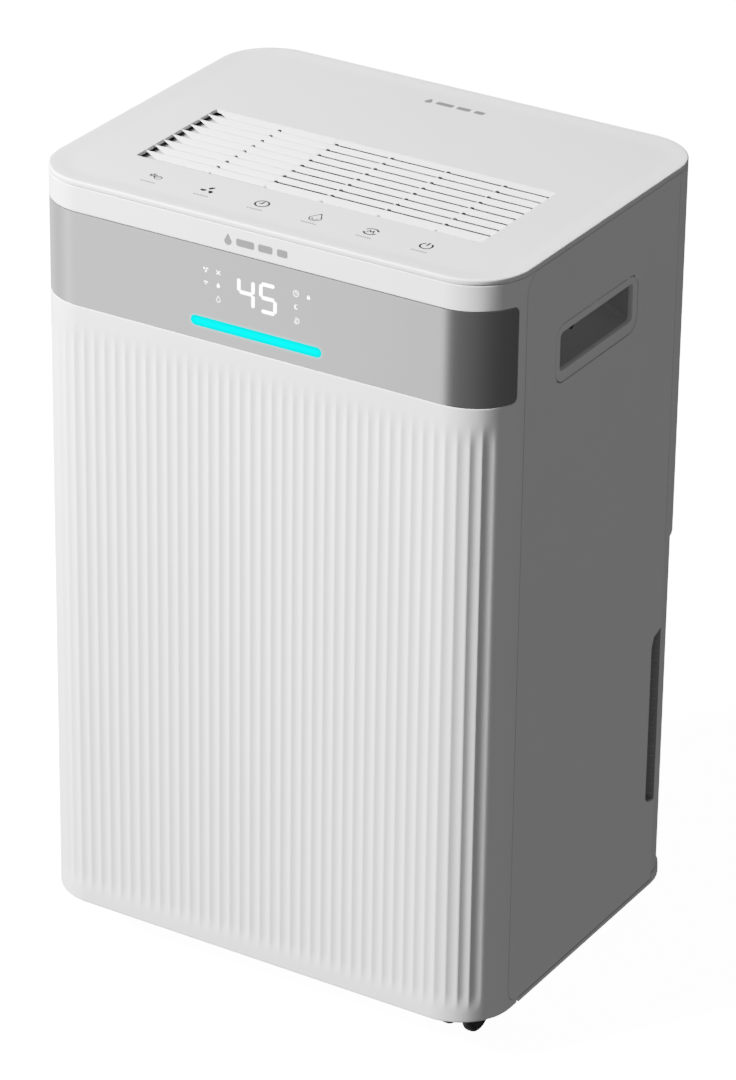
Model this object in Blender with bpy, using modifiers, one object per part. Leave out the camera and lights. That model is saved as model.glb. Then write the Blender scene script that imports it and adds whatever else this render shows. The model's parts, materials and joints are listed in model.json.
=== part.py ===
"""Portable dehumidifier on twin-wheel casters, modelled piece by piece.

Metres, +Z up. The floor is z = 0, the middle of the body is x = y = 0, the front faces -Y.
Run with: blender --background --python part.py
"""

from math import asin, cos, hypot, pi, radians, sin

import bmesh
import bpy
from mathutils import Matrix, Vector

# ---- Driving dimensions -------------------------------------------------------------------

# Overall body
BODY_WIDTH = 0.386
BODY_DEPTH = 0.297
BODY_HEIGHT = 0.585
CORNER_RADIUS = 0.0434
WALL = 0.003

# Clearances
SEAM = 0.0004  # between two fixed covers
SLIP = 0.0006  # round a piece that slides or turns
NEST = 0.0005  # between a cover and what stands inside it

# Casters
WHEEL_RADIUS = 0.016
WHEEL_WIDTH = 0.008
WHEEL_SPACING = 0.020
AXLE_RADIUS = 0.002
TRAIL = 0.008
CASTER_HEIGHT = 2 * WHEEL_RADIUS + 0.0075
CASTER_INSET_X = 0.0485
CASTER_INSET_Y = 0.0525
STEM_RADIUS = 0.005
HOOD_GAP = 0.001
HOOD_THICKNESS = 0.002

# Covers: heights are above the underside of the body, depths are from its middle
FRONT_SEAM_Y = 0.0393 - BODY_DEPTH / 2
REAR_SEAM_Y = BODY_DEPTH / 2 - 0.0434
LID_THICKNESS = 0.0042
LIP_DEPTH = 0.008
SIDE_CORNER_TOP = 0.015
SIDE_CORNER_BOTTOM = 0.013
PLINTH = 0.0036
PAN_FLOOR = 0.007
TANK_LINE = 0.2896 * BODY_HEIGHT / 0.585

# Display band, measured down from the lid
BAND_LOW = BODY_HEIGHT - 0.0953
BAND_HIGH = BODY_HEIGHT - 0.0240
BAND_THICKNESS = 0.0014
BAND_INSET = 0.0002
BAND_END_Y = FRONT_SEAM_Y - 0.0085
BAR_LENGTH = 0.107
BAR_HEIGHT = 0.0076
BAR_CENTRE = BODY_HEIGHT - 0.0816
BAR_DEPTH = 0.0034
DIGIT_WIDTH = 0.046
DIGIT_LOW = BODY_HEIGHT - 0.0645
DIGIT_HIGH = BODY_HEIGHT - 0.0395
WINDOW_WIDTH = 0.128
CONTROL_BOX_HEIGHT = 0.165
CONTROL_BOX_DEPTH = 0.075
CONTROL_BOX_WALL = 0.002
CAPACITOR_RADIUS = 0.018
SENSOR_SIZE = (0.016, 0.006, 0.028)
BOARD_THICKNESS = 0.0016

# Outlet grille
GRILLE_WIDTH = BODY_WIDTH - 0.104
GRILLE_BACK_Y = 0.0182
BLADE_PITCH = 0.01145
BLADE_COUNT = 9
BLADE_THICKNESS = 0.0016
BLADE_DROP = 0.0075
GRILLE_DEPTH = 0.015
GRILLE_RIM = 0.0016
RIB_COUNT = 5
BLIND_BAYS = 2

# Carrying handles
HANDLE_LENGTH = 0.1158
HANDLE_HEIGHT = 0.0442
HANDLE_Y = -0.0102
HANDLE_Z = BODY_HEIGHT - 0.0809
HANDLE_RADIUS = 0.011
GRIP_LENGTH = HANDLE_LENGTH - 0.0132
GRIP_HEIGHT = HANDLE_HEIGHT - 0.0147
GRIP_Z = HANDLE_Z + 0.0016
GRIP_DEPTH = 0.033
GRIP_RADIUS = 0.004
CUP_WALL = 0.0025

# Finger slots beside the tank
SLOT_LOW = 0.073
SLOT_HIGH = TANK_LINE - 0.0701
SLOT_WIDTH = 0.014
SLOT_SLANT = 0.012

# Water tank
TANK_WIDTH = BODY_WIDTH - 0.042
TANK_FRONT_Y = BODY_DEPTH / 2 - 0.1299
TANK_WALL = 0.003
TANK_INSET = 0.0016
TANK_HEADROOM = 0.0145
TANK_COVER_THICKNESS = 0.003
FLOAT_SIZE = 0.024
FLOAT_HEIGHT = 0.018
FLOAT_TRAVEL = 0.020
FLOAT_X = 0.073 - BODY_WIDTH / 2

# Chassis and refrigeration
BULKHEAD_Y = TANK_FRONT_Y - 0.0106
SHEET = 0.003
DECK_GAP = 0.003
TRAY_WIDTH = BODY_WIDTH - 0.056
TRAY_HEIGHT = 0.016
TRAY_WALL = 0.002
DRAIN_X = -0.060
DRAIN_Y = BODY_DEPTH / 2 - 0.0585
DRAIN_RADIUS = 0.006
COIL_WIDTH = BODY_WIDTH - 0.090
COIL_DEPTH = 0.030
COIL_HEIGHT = BODY_HEIGHT - TANK_LINE - 0.0654
FIN_COUNT = 16
COMPRESSOR_RADIUS = 0.056
DISCHARGE_RADIUS = 0.003
SUCTION_RADIUS = 0.004
CAPILLARY_RADIUS = 0.0016
BRAZE_GAP = 0.0006
COMPRESSOR_HEIGHT = 0.587 * TANK_LINE
COMPRESSOR_X = -0.060
COMPRESSOR_Y = BULKHEAD_Y - 0.074
FOOT_SIZE = 2 * COMPRESSOR_RADIUS + 0.014
GROMMET_HEIGHT = 0.010
ACCUMULATOR_RADIUS = 0.018
ACCUMULATOR_HEIGHT = 0.466 * TANK_LINE

# Blower
BLOWER_X = 0.020
SCROLL_GAP = 0.004
DUCT_INSET = 0.004
IONISER_SIZE = (0.020, 0.034, 0.014)
SCROLL_RADIUS = 0.3182 * (BODY_HEIGHT - TANK_LINE)
SCROLL_GROWTH = 0.014
BLOWER_RADIUS = SCROLL_RADIUS - 0.024
BLOWER_WIDTH = 0.078
HOUSING_WIDTH = 0.100
HOUSING_BACK_Y = BODY_DEPTH / 2 - 0.1035
HOUSING_WALL = 0.0025
VANE_COUNT = 20
MOTOR_RADIUS = 0.040
MOTOR_LENGTH = 0.050
SHAFT_RADIUS = 0.004

# Intake at the rear
INTAKE_WIDTH = BODY_WIDTH - 0.096
INTAKE_LOW = TANK_LINE + 0.0324
INTAKE_HIGH = BODY_HEIGHT - 0.029
INTAKE_THICKNESS = 0.0045
LOUVRE_COUNT = 14
FILTER_THICKNESS = 0.002
PORT_Z = TANK_LINE + 0.0154
PORT_X = 0.083 - BODY_WIDTH / 2
SPOUT_RADIUS = 0.006
SPOUT_WALL = 0.0018
PLUG_WALL = 0.0018
GLAND_X = BODY_WIDTH / 2 - 0.073
GLAND_RADIUS = 0.008
SCREW_RADIUS = 0.0036

# ---- Derived places -----------------------------------------------------------------------

CORNER_END_Y = FRONT_SEAM_Y + max(SIDE_CORNER_TOP, SIDE_CORNER_BOTTOM)

HALF_X = BODY_WIDTH / 2
HALF_Y = BODY_DEPTH / 2
LOW = CASTER_HEIGHT
TOP = LOW + BODY_HEIGHT
LID_LINE = TOP - LID_THICKNESS
FLOOR = LOW + PAN_FLOOR
TANK_TOP = LOW + TANK_LINE
INNER_X = HALF_X - WALL
INNER_Y = HALF_Y - WALL
GRILLE_FRONT_Y = GRILLE_BACK_Y - BLADE_COUNT * BLADE_PITCH
DECK_LOW = TANK_TOP + DECK_GAP
DECK_HIGH = DECK_LOW + SHEET
TRAY_LOW = DECK_HIGH + SEAM
COIL_LOW = TRAY_LOW + TRAY_HEIGHT + SEAM
CONDENSER_BACK_Y = INNER_Y - 0.048
EVAPORATOR_BACK_Y = CONDENSER_BACK_Y + COIL_DEPTH + 0.008
TANK_RIM = TANK_TOP - TANK_HEADROOM
BLOWER_Z = DECK_HIGH + SCROLL_GAP + SCROLL_RADIUS + SCROLL_GROWTH
HOUSING_FRONT_Y = HOUSING_BACK_Y - HOUSING_WIDTH
OUTLET_LEFT = -GRILLE_WIDTH / 2 + BLIND_BAYS * GRILLE_WIDTH / (RIB_COUNT + 1)
OUTLET_RIGHT = GRILLE_WIDTH / 2
HOUSING_TOP = TOP - GRILLE_DEPTH - SEAM
WHEEL_TRACK_X = HALF_X - CASTER_INSET_X
STEM_Y = HALF_Y - CASTER_INSET_Y

FINISHES = {
    "white_plastic": ((0.80, 0.80, 0.80), 0.42, 0.0),
    "silver_film": ((0.50, 0.50, 0.51), 0.32, 0.85),
    "light_cyan": ((0.0, 0.85, 0.90), 0.25, 0.0),
    "black_plastic": ((0.015, 0.015, 0.016), 0.45, 0.0),
    "grey_plastic": ((0.22, 0.22, 0.23), 0.55, 0.0),
    "tank_plastic": ((0.70, 0.74, 0.76), 0.35, 0.0),
    "galvanised_steel": ((0.55, 0.56, 0.57), 0.45, 0.9),
    "enamelled_steel": ((0.03, 0.03, 0.035), 0.35, 0.3),
    "copper": ((0.72, 0.35, 0.20), 0.30, 1.0),
    "aluminium": ((0.70, 0.71, 0.72), 0.38, 1.0),
    "rubber": ((0.03, 0.03, 0.03), 0.80, 0.0),
    "circuit_board": ((0.02, 0.17, 0.07), 0.50, 0.0),
    "filter_cloth": ((0.10, 0.11, 0.12), 0.90, 0.0),
}

parts = bpy.data.collections.new("dehumidifier")
cutters = bpy.data.collections.new("cutters")


# ---- Shape helpers ------------------------------------------------------------------------


def clear_scene():
    for item in list(bpy.data.objects):
        bpy.data.objects.remove(item, do_unlink=True)
    bpy.context.scene.collection.children.link(parts)
    bpy.context.scene.collection.children.link(cutters)


def close_up(mesh):
    """Weld a mesh's loose caps and turn its faces outwards."""
    work = bmesh.new()
    work.from_mesh(mesh)
    bmesh.ops.remove_doubles(work, verts=work.verts, dist=1e-6)
    bmesh.ops.recalc_face_normals(work, faces=work.faces)
    work.to_mesh(mesh)
    work.free()
    return mesh


def mesh_of(holder):
    """The evaluated mesh of a helper object, which is removed afterwards."""
    bpy.context.scene.collection.objects.link(holder)
    graph = bpy.context.evaluated_depsgraph_get()
    mesh = bpy.data.meshes.new_from_object(holder.evaluated_get(graph))
    mesh.transform(holder.matrix_world)
    bpy.data.objects.remove(holder, do_unlink=True)
    return close_up(mesh)


AXES = {
    "X": Matrix(((0, 0, 1, 0), (1, 0, 0, 0), (0, 1, 0, 0), (0, 0, 0, 1))),
    "Y": Matrix(((1, 0, 0, 0), (0, 0, 1, 0), (0, 1, 0, 0), (0, 0, 0, 1))),
    "Z": Matrix.Identity(4),
}


def prism(outlines, low, high, axis="Z"):
    """Flat outlines, (x, y), (x, z) or (y, z), extruded along the axis. Inner outlines are holes."""
    curve = bpy.data.curves.new("outline", "CURVE")
    curve.dimensions = "2D"
    curve.fill_mode = "BOTH"
    curve.extrude = (high - low) / 2
    for outline in outlines:
        spline = curve.splines.new("POLY")
        spline.points.add(len(outline) - 1)
        for point, (u, v) in zip(spline.points, outline):
            point.co = (u, v, 0, 1)
        spline.use_cyclic_u = True
    mesh = mesh_of(bpy.data.objects.new("outline", curve))
    mesh.transform(AXES[axis] @ Matrix.Translation((0, 0, (low + high) / 2)))
    return close_up(mesh)


def box(low, high):
    """A box between two corners."""
    work = bmesh.new()
    bmesh.ops.create_cube(work, size=1)
    size = Vector(high) - Vector(low)
    bmesh.ops.scale(work, vec=size, verts=work.verts)
    bmesh.ops.translate(work, vec=(Vector(high) + Vector(low)) / 2, verts=work.verts)
    mesh = bpy.data.meshes.new("box")
    work.to_mesh(mesh)
    work.free()
    return mesh


def cylinder(radius, centre, low, high, axis="Z", sides=32):
    """A cylinder on the axis through a centre given in the other two coordinates."""
    work = bmesh.new()
    bmesh.ops.create_cone(
        work, cap_ends=True, segments=sides, radius1=radius, radius2=radius, depth=high - low
    )
    mesh = bpy.data.meshes.new("cylinder")
    work.to_mesh(mesh)
    work.free()
    mesh.transform(AXES[axis] @ Matrix.Translation((*centre, (low + high) / 2)))
    return close_up(mesh)


def turned(profile, centre, axis="Z", steps=32):
    """A profile of (radius, height) from top to bottom, turned about the axis by a Screw."""
    mesh = bpy.data.meshes.new("profile")
    points = [(radius, 0, height) for radius, height in profile]
    mesh.from_pydata(points, [(i, i + 1) for i in range(len(points) - 1)], [])
    holder = bpy.data.objects.new("profile", mesh)
    screw = holder.modifiers.new("Turn", "SCREW")
    screw.steps = screw.render_steps = steps
    screw.use_merge_vertices = True
    screw.merge_threshold = 1e-5
    turned_mesh = mesh_of(holder)
    turned_mesh.transform(AXES[axis] @ Matrix.Translation((*centre, 0)))
    return close_up(turned_mesh)


def smooth_route(corners, spacing=0.016):
    """Points along a Catmull-Rom curve through the corners."""
    knots = [Vector(corner) for corner in corners]
    knots = [2 * knots[0] - knots[1], *knots, 2 * knots[-1] - knots[-2]]
    route = []
    for a, b, c, d in zip(knots, knots[1:], knots[2:], knots[3:]):
        count = max(2, round((c - b).length / spacing))
        for step in range(count):
            t = step / count
            route.append(
                0.5 * (2 * b + (c - a) * t + (2 * a - 5 * b + 4 * c - d) * t**2)
                + 0.5 * (3 * b - a - 3 * c + d) * t**3
            )
    route.append(knots[-2])
    return route


def tube(corners, radius):
    """A bent tube with closed ends through the corners."""
    curve = bpy.data.curves.new("route", "CURVE")
    curve.dimensions = "3D"
    curve.bevel_depth = radius
    curve.bevel_resolution = 2
    curve.use_fill_caps = True
    route = smooth_route(corners)
    spline = curve.splines.new("POLY")
    spline.points.add(len(route) - 1)
    for point, place in zip(spline.points, route):
        point.co = (*place, 1)
    return mesh_of(bpy.data.objects.new("route", curve))


def together(meshes):
    """One mesh of several that don't touch."""
    work = bmesh.new()
    for mesh in meshes:
        work.from_mesh(mesh)
    joined = bpy.data.meshes.new("group")
    work.to_mesh(joined)
    work.free()
    return joined


def part(name, mesh, finish, pivot=(0, 0, 0), parent=None):
    """A named piece, with its origin on its pivot."""
    mesh.name = name
    mesh.transform(Matrix.Translation(-Vector(pivot)))
    piece = bpy.data.objects.new(name, mesh)
    parts.objects.link(piece)
    if parent:
        piece.parent = parent
        piece.matrix_parent_inverse = Matrix.Translation(-parent.location)
    piece.location = pivot
    colour, roughness, metallic = FINISHES[finish]
    material = bpy.data.materials.new(name)
    material.use_nodes = True
    shader = material.node_tree.nodes["Principled BSDF"]
    shader.inputs["Base Color"].default_value = (*colour, 1)
    shader.inputs["Roughness"].default_value = roughness
    shader.inputs["Metallic"].default_value = metallic
    mesh.materials.clear()
    mesh.materials.append(material)
    return piece


def pivot_empty(name, place, parent=None):
    empty = bpy.data.objects.new(name, None)
    empty.empty_display_size = 0.02
    parts.objects.link(empty)
    empty.location = place
    if parent:
        empty.parent = parent
        empty.matrix_parent_inverse = Matrix.Translation(-parent.location)
    return empty


def boolean(piece, operation, mesh, solver):
    """Cut a mesh from a piece, or join it on, with a Boolean modifier."""
    number = len(piece.modifiers)
    helper = bpy.data.objects.new(f"{piece.name}_{operation.lower()}_{number}", mesh)
    cutters.objects.link(helper)
    helper.hide_render = True
    helper.display_type = "WIRE"
    modifier = piece.modifiers.new(operation.title(), "BOOLEAN")
    modifier.operation = operation
    modifier.solver = solver
    modifier.object = helper


def cut(piece, mesh, solver="EXACT"):
    boolean(piece, "DIFFERENCE", mesh, solver)


def join(piece, mesh, solver="EXACT"):
    boolean(piece, "UNION", mesh, solver)


# ---- Outlines -----------------------------------------------------------------------------


def rounded(u_low, u_high, v_low, v_high, radius, steps=6):
    """A rectangle with round corners. The radius is one number, or one for each corner from
    (low, low) counter-clockwise."""
    radii = radius if isinstance(radius, (tuple, list)) else [radius] * 4
    centres = [
        (u_low, v_low, 1, 1),
        (u_high, v_low, -1, 1),
        (u_high, v_high, -1, -1),
        (u_low, v_high, 1, -1),
    ]
    outline = []
    for quarter, ((u, v, du, dv), r) in enumerate(zip(centres, radii)):
        if r <= 0:
            outline.append((u, v))
            continue
        for step in range(steps + 1):
            turn = pi + quarter * pi / 2 + step * pi / 2 / steps
            outline.append((u + du * r + r * cos(turn), v + dv * r + r * sin(turn)))
    return outline


def body_outline(inset=0.0, steps=10):
    return rounded(
        -HALF_X + inset, HALF_X - inset, -HALF_Y + inset, HALF_Y - inset, CORNER_RADIUS - inset, steps
    )


def u_path(inset, end_y, side, steps=10):
    """The body's outline round the front (side -1) or the rear (side 1), from +X to -X, as far
    back as end_y, which may lie past the start of the corner."""
    radius = CORNER_RADIUS - inset
    across = HALF_X - CORNER_RADIUS
    along = HALF_Y - CORNER_RADIUS
    first = asin(max(0, side * end_y - along) / radius)
    path = [(HALF_X - inset, end_y)] if side * end_y < along - 1e-5 else []
    turns = [first + (pi / 2 - first) * step / steps for step in range(steps + 1)]
    path += [(across + radius * cos(turn), side * (along + radius * sin(turn))) for turn in turns]
    return path + [(-x, y) for x, y in path[::-1]]


def u_wall(outer, inner, end_y, side):
    """A wall's outline in plan between two insets."""
    return u_path(outer, end_y, side) + u_path(inner, end_y, side)[::-1]


def u_solid(inset, end_y, side):
    return u_path(inset, end_y, side)


def side_outline(grow=0.0):
    """A side panel in (y, z), with the finger slot left out."""
    return rounded(
        FRONT_SEAM_Y + SEAM / 2 - grow,
        REAR_SEAM_Y - SEAM / 2 + grow,
        LOW + PLINTH + SEAM - grow,
        LID_LINE - SEAM + grow,
        (SIDE_CORNER_BOTTOM + grow, 0, 0, SIDE_CORNER_TOP + grow),
    )


def side_outline_with_slot():
    """The side panel's outline with the finger slot let into its rear edge."""
    rear = REAR_SEAM_Y - SEAM / 2
    inner = rear - SLOT_WIDTH
    slot = [
        (rear, LOW + SLOT_LOW),
        (inner + 0.004, LOW + SLOT_LOW + 0.002),
        (inner, LOW + SLOT_LOW + 0.007),
        (inner, LOW + SLOT_HIGH - SLOT_SLANT),
        (inner + 0.003, LOW + SLOT_HIGH - SLOT_SLANT / 3),
        (rear, LOW + SLOT_HIGH),
    ]
    outline = side_outline()
    corner = outline.index(min(outline, key=lambda p: hypot(p[0] - rear, p[1] - LOW - PLINTH - SEAM)))
    return outline[: corner + 1] + slot + outline[corner + 1 :]


def handle_outline(grow=0.0):
    return rounded(
        HANDLE_Y - HANDLE_LENGTH / 2 - grow,
        HANDLE_Y + HANDLE_LENGTH / 2 + grow,
        LOW + HANDLE_Z - HANDLE_HEIGHT / 2 - grow,
        LOW + HANDLE_Z + HANDLE_HEIGHT / 2 + grow,
        HANDLE_RADIUS + grow,
    )


def grip_outline(grow=0.0):
    return rounded(
        HANDLE_Y - GRIP_LENGTH / 2 - grow,
        HANDLE_Y + GRIP_LENGTH / 2 + grow,
        LOW + GRIP_Z - GRIP_HEIGHT / 2 - grow,
        LOW + GRIP_Z + GRIP_HEIGHT / 2 + grow,
        GRIP_RADIUS + grow,
    )


def circle(u, v, radius, sides=24):
    return [
        (u + radius * cos(2 * pi * step / sides), v + radius * sin(2 * pi * step / sides))
        for step in range(sides)
    ]


def across(side, near, far):
    """Two x values on one side of the body, in rising order."""
    return sorted((side * near, side * far))


# ---- Casters ------------------------------------------------------------------------------


def add_caster(label, x, stem_y):
    """A hood with its stem, an axle and two wheels, which turn about pivots of their own."""
    wheel_y = stem_y + TRAIL
    hood_radius = WHEEL_RADIUS + HOOD_GAP + HOOD_THICKNESS
    half_hood = WHEEL_SPACING / 2 + WHEEL_WIDTH / 2 + 0.0006
    web = WHEEL_SPACING / 2 - WHEEL_WIDTH / 2 - SLIP
    collar_top = LOW - SEAM
    swivel = pivot_empty(f"swivel_{label}", (x, stem_y, LOW))
    arc = [radians(12 + 13 * step) for step in range(13)]
    fender = [(wheel_y + hood_radius * cos(t), WHEEL_RADIUS + hood_radius * sin(t)) for t in arc]
    inner = hood_radius - HOOD_THICKNESS
    fender += [(wheel_y + inner * cos(t), WHEEL_RADIUS + inner * sin(t)) for t in arc[::-1]]
    hood = part(
        f"caster_hood_{label}",
        prism([fender], x - half_hood, x + half_hood, "X"),
        "black_plastic",
        (x, stem_y, LOW),
        swivel,
    )
    nose_turns = [radians(a) for a in range(180, 361, 30)]
    nose = [(wheel_y + 0.006 * cos(a), WHEEL_RADIUS + 0.006 * sin(a)) for a in nose_turns]
    web_outline = nose + [
        (wheel_y + inner - 0.001, WHEEL_RADIUS + 0.003),
        (stem_y + 0.011, collar_top - 0.003),
        (stem_y - 0.009, collar_top - 0.003),
        (wheel_y - inner + 0.001, WHEEL_RADIUS + 0.004),
    ]
    join(hood, prism([web_outline], x - web, x + web, "X"))
    join(hood, cylinder(0.0115, (x, stem_y), WHEEL_RADIUS + inner, collar_top, sides=16))
    join(hood, cylinder(STEM_RADIUS, (x, stem_y), collar_top - 0.001, FLOOR - 0.001, sides=12))
    cut(hood, cylinder(AXLE_RADIUS + SEAM, (wheel_y, WHEEL_RADIUS), x - 0.03, x + 0.03, "X", 12))
    axle_half = WHEEL_SPACING / 2 + WHEEL_WIDTH / 2 - 0.001
    part(
        f"caster_axle_{label}",
        cylinder(AXLE_RADIUS, (wheel_y, WHEEL_RADIUS), x - axle_half, x + axle_half, "X", 12),
        "galvanised_steel",
        (x, wheel_y, WHEEL_RADIUS),
        swivel,
    )
    for place, side in (("inner", -1), ("outer", 1)):
        middle = x + side * (1 if x > 0 else -1) * WHEEL_SPACING / 2
        half = WHEEL_WIDTH / 2
        edge = 0.0014
        rim = WHEEL_RADIUS
        bore = AXLE_RADIUS + SEAM
        profile = [
            (bore, half),
            (rim - edge, half),
            (rim, half - edge),
            (rim, -half + edge),
            (rim - edge, -half),
            (bore, -half),
            (bore, half),
        ]
        wheel = turned(profile, (0, 0), "Z", 20)
        wheel.transform(AXES["X"] @ Matrix.Translation((wheel_y, WHEEL_RADIUS, middle)))
        pivot = (middle, wheel_y, WHEEL_RADIUS)
        part(f"caster_wheel_{label}_{place}", close_up(wheel), "black_plastic", pivot, swivel)


def add_casters():
    for label, x, y in (
        ("front_left", -WHEEL_TRACK_X, -STEM_Y),
        ("front_right", WHEEL_TRACK_X, -STEM_Y),
        ("rear_left", -WHEEL_TRACK_X, STEM_Y),
        ("rear_right", WHEEL_TRACK_X, STEM_Y),
    ):
        add_caster(label, x, y)


# ---- Casing -------------------------------------------------------------------------------


def add_base_pan():
    """The floor plate, with a plinth that shows under the side panels and the tank."""
    plate = prism([body_outline(WALL + NEST)], LOW + PLINTH - NEST, FLOOR)
    pan = part("base_pan", plate, "white_plastic")
    plinth_front = CORNER_END_Y + SEAM
    join(pan, prism([u_solid(0, plinth_front, 1)], LOW, LOW + PLINTH))
    join(pan, prism([u_solid(0.0001, REAR_SEAM_Y + SEAM, 1)], LOW + 0.001, FLOOR - 0.0001))
    pads = []
    holes = []
    for x in (-WHEEL_TRACK_X, WHEEL_TRACK_X):
        pads.append(cylinder(0.017, (x, -STEM_Y), LOW, LOW + PLINTH, sides=20))
        for y in (-STEM_Y, STEM_Y):
            holes.append(cylinder(STEM_RADIUS + SEAM, (x, y), LOW - 0.01, FLOOR + 0.01, sides=20))
    join(pan, together(pads))
    cut(pan, together(holes))


def add_front_panel():
    """The front shell round both corners. The side panels lie in its rear edges, and the display
    band lies in a recess."""
    walls = u_wall(0, WALL, CORNER_END_Y, -1)
    shell = part("front_panel", prism([walls], LOW, LID_LINE - SEAM), "white_plastic")
    sides = [prism([side_outline(SEAM)], *across(s, INNER_X - 0.004, HALF_X + 0.004), "X") for s in (-1, 1)]
    cut(shell, together(sides))
    deep = BAND_INSET + BAND_THICKNESS + SEAM
    recess = prism(
        [u_wall(-0.004, deep, BAND_END_Y + SEAM, -1)], LOW + BAND_LOW - SEAM, LOW + BAND_HIGH + SEAM
    )
    cut(shell, recess)
    half = WINDOW_WIDTH / 2
    window = box(
        (-half, -HALF_Y - 0.001, LOW + BAND_LOW + 0.003), (half, -INNER_Y + 0.001, LOW + BAND_HIGH - 0.003)
    )
    cut(shell, window)


def bar_outline(grow=0.0):
    half = BAR_LENGTH / 2 + grow
    high = BAR_HEIGHT / 2 + grow
    middle = LOW + BAR_CENTRE
    return rounded(-half, half, middle - high, middle + high, high - 1e-5, 8)


def add_display():
    outer = BAND_INSET
    inner = BAND_INSET + BAND_THICKNESS
    band = part(
        "display_band",
        prism([u_wall(outer, inner, BAND_END_Y, -1)], LOW + BAND_LOW, LOW + BAND_HIGH),
        "silver_film",
    )
    front = -HALF_Y + BAND_INSET
    cut(band, prism([bar_outline(SEAM)], front - 0.002, front + 0.004, "Y"))
    part(
        "light_bar_lens",
        prism([bar_outline()], front + 0.0001, front + BAR_DEPTH, "Y"),
        "light_cyan",
    )
    behind = front + BAND_THICKNESS + SEAM
    half = DIGIT_WIDTH / 2
    board_front = behind + 0.0055
    module = rounded(-half, half, LOW + DIGIT_LOW, LOW + DIGIT_HIGH, 0.001, 2)
    part("digit_module", prism([module], behind, board_front - SEAM, "Y"), "black_plastic")
    wide = WINDOW_WIDTH / 2 - 0.002
    board = rounded(-wide, wide, LOW + BAND_LOW + 0.005, LOW + BAND_HIGH - 0.005, 0.002, 2)
    part("display_board", prism([board], board_front, board_front + BOARD_THICKNESS, "Y"), "circuit_board")


def grille_outline(grow=0.0):
    half = GRILLE_WIDTH / 2 + grow
    return rounded(-half, half, GRILLE_FRONT_Y - grow, GRILLE_BACK_Y + grow, 0.0008 + grow, 2)


def add_top_cover():
    lid = part("top_cover", prism([body_outline(), grille_outline(SEAM)], LID_LINE, TOP), "white_plastic")
    outer = body_outline(WALL + NEST)
    inner = body_outline(WALL + NEST + 0.002)
    join(lid, prism([outer, inner], LID_LINE - LIP_DEPTH, LID_LINE + 0.001))
    half = GRILLE_WIDTH / 2
    board_back = GRILLE_FRONT_Y - 0.006
    keys = rounded(-half, half, board_back - 0.036, board_back, 0.002, 2)
    board_top = LID_LINE - 0.004
    board = part("touch_board", prism([keys], board_top - BOARD_THICKNESS, board_top), "circuit_board")
    pitch = 0.0442
    middle = board_back - 0.018
    springs = [
        cylinder(0.004, ((key - 2.5) * pitch, middle), board_top - 0.0005, LID_LINE - SEAM, sides=12)
        for key in range(6)
    ]
    join(board, together(springs))


def blade(back_y):
    """One sloping blade across the grille, high at the back and low at the front."""
    reach = BLADE_PITCH - 0.0022
    high = TOP - 0.0004
    low = high - BLADE_DROP
    section = [
        (back_y, high),
        (back_y - reach, low),
        (back_y - reach, low - BLADE_THICKNESS),
        (back_y, high - BLADE_THICKNESS),
    ]
    half = GRILLE_WIDTH / 2 - GRILLE_RIM / 2
    return prism([section], -half, half, "X")


def add_outlet_grille():
    inside = rounded(
        -GRILLE_WIDTH / 2 + GRILLE_RIM,
        GRILLE_WIDTH / 2 - GRILLE_RIM,
        GRILLE_FRONT_Y + GRILLE_RIM / 2,
        GRILLE_BACK_Y - GRILLE_RIM,
        0,
    )
    low = TOP - GRILLE_DEPTH
    grille = part("outlet_grille", prism([grille_outline(), inside], low, TOP - 0.0001), "white_plastic")
    first = GRILLE_BACK_Y - GRILLE_RIM / 2
    join(grille, together([blade(first - row * BLADE_PITCH) for row in range(BLADE_COUNT)]))
    bay = GRILLE_WIDTH / (RIB_COUNT + 1)
    ribs = []
    for rib in range(1, RIB_COUNT + 1):
        x = -GRILLE_WIDTH / 2 + rib * bay
        ribs.append(
            box(
                (x - 0.0008, GRILLE_FRONT_Y + 0.0002, low),
                (x + 0.0008, GRILLE_BACK_Y - 0.0002, TOP - 0.0016),
            )
        )
    join(grille, together(ribs))
    blind_end = -GRILLE_WIDTH / 2 + BLIND_BAYS * bay
    floor = box(
        (-GRILLE_WIDTH / 2 + 0.0003, GRILLE_FRONT_Y + 0.0003, low + 0.0001),
        (blind_end, GRILLE_BACK_Y - 0.0003, low + 0.0016),
    )
    join(grille, floor)


def add_sides():
    for name, side in (("left", -1), ("right", 1)):
        outline = side_outline_with_slot()
        low, high = across(side, INNER_X, HALF_X)
        blank = prism([outline, handle_outline(SEAM)], low, high, "X")
        part(f"side_panel_{name}", blank, "white_plastic")
        low, high = across(side, HALF_X - 0.005, HALF_X - 0.0001)
        cup = part(f"handle_cup_{name}", prism([handle_outline()], low, high, "X"), "white_plastic")
        low, high = across(side, HALF_X - GRIP_DEPTH - CUP_WALL, HALF_X - 0.004)
        join(cup, prism([grip_outline(CUP_WALL)], low, high, "X"))
        low, high = across(side, HALF_X - GRIP_DEPTH, HALF_X + 0.01)
        cut(cup, prism([grip_outline()], low, high, "X"))


def intake_outline(grow=0.0):
    half = INTAKE_WIDTH / 2 + grow
    return rounded(-half, half, LOW + INTAKE_LOW - grow, LOW + INTAKE_HIGH + grow, 0.006 + grow, 4)


def screw_places():
    """The rear cover's two screws in (x, z), between the intake and the lid."""
    x = INTAKE_WIDTH / 2 - 0.015
    z = (LOW + INTAKE_HIGH + LID_LINE - LIP_DEPTH) / 2
    return {"left": (-x, z), "right": (x, z)}


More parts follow.
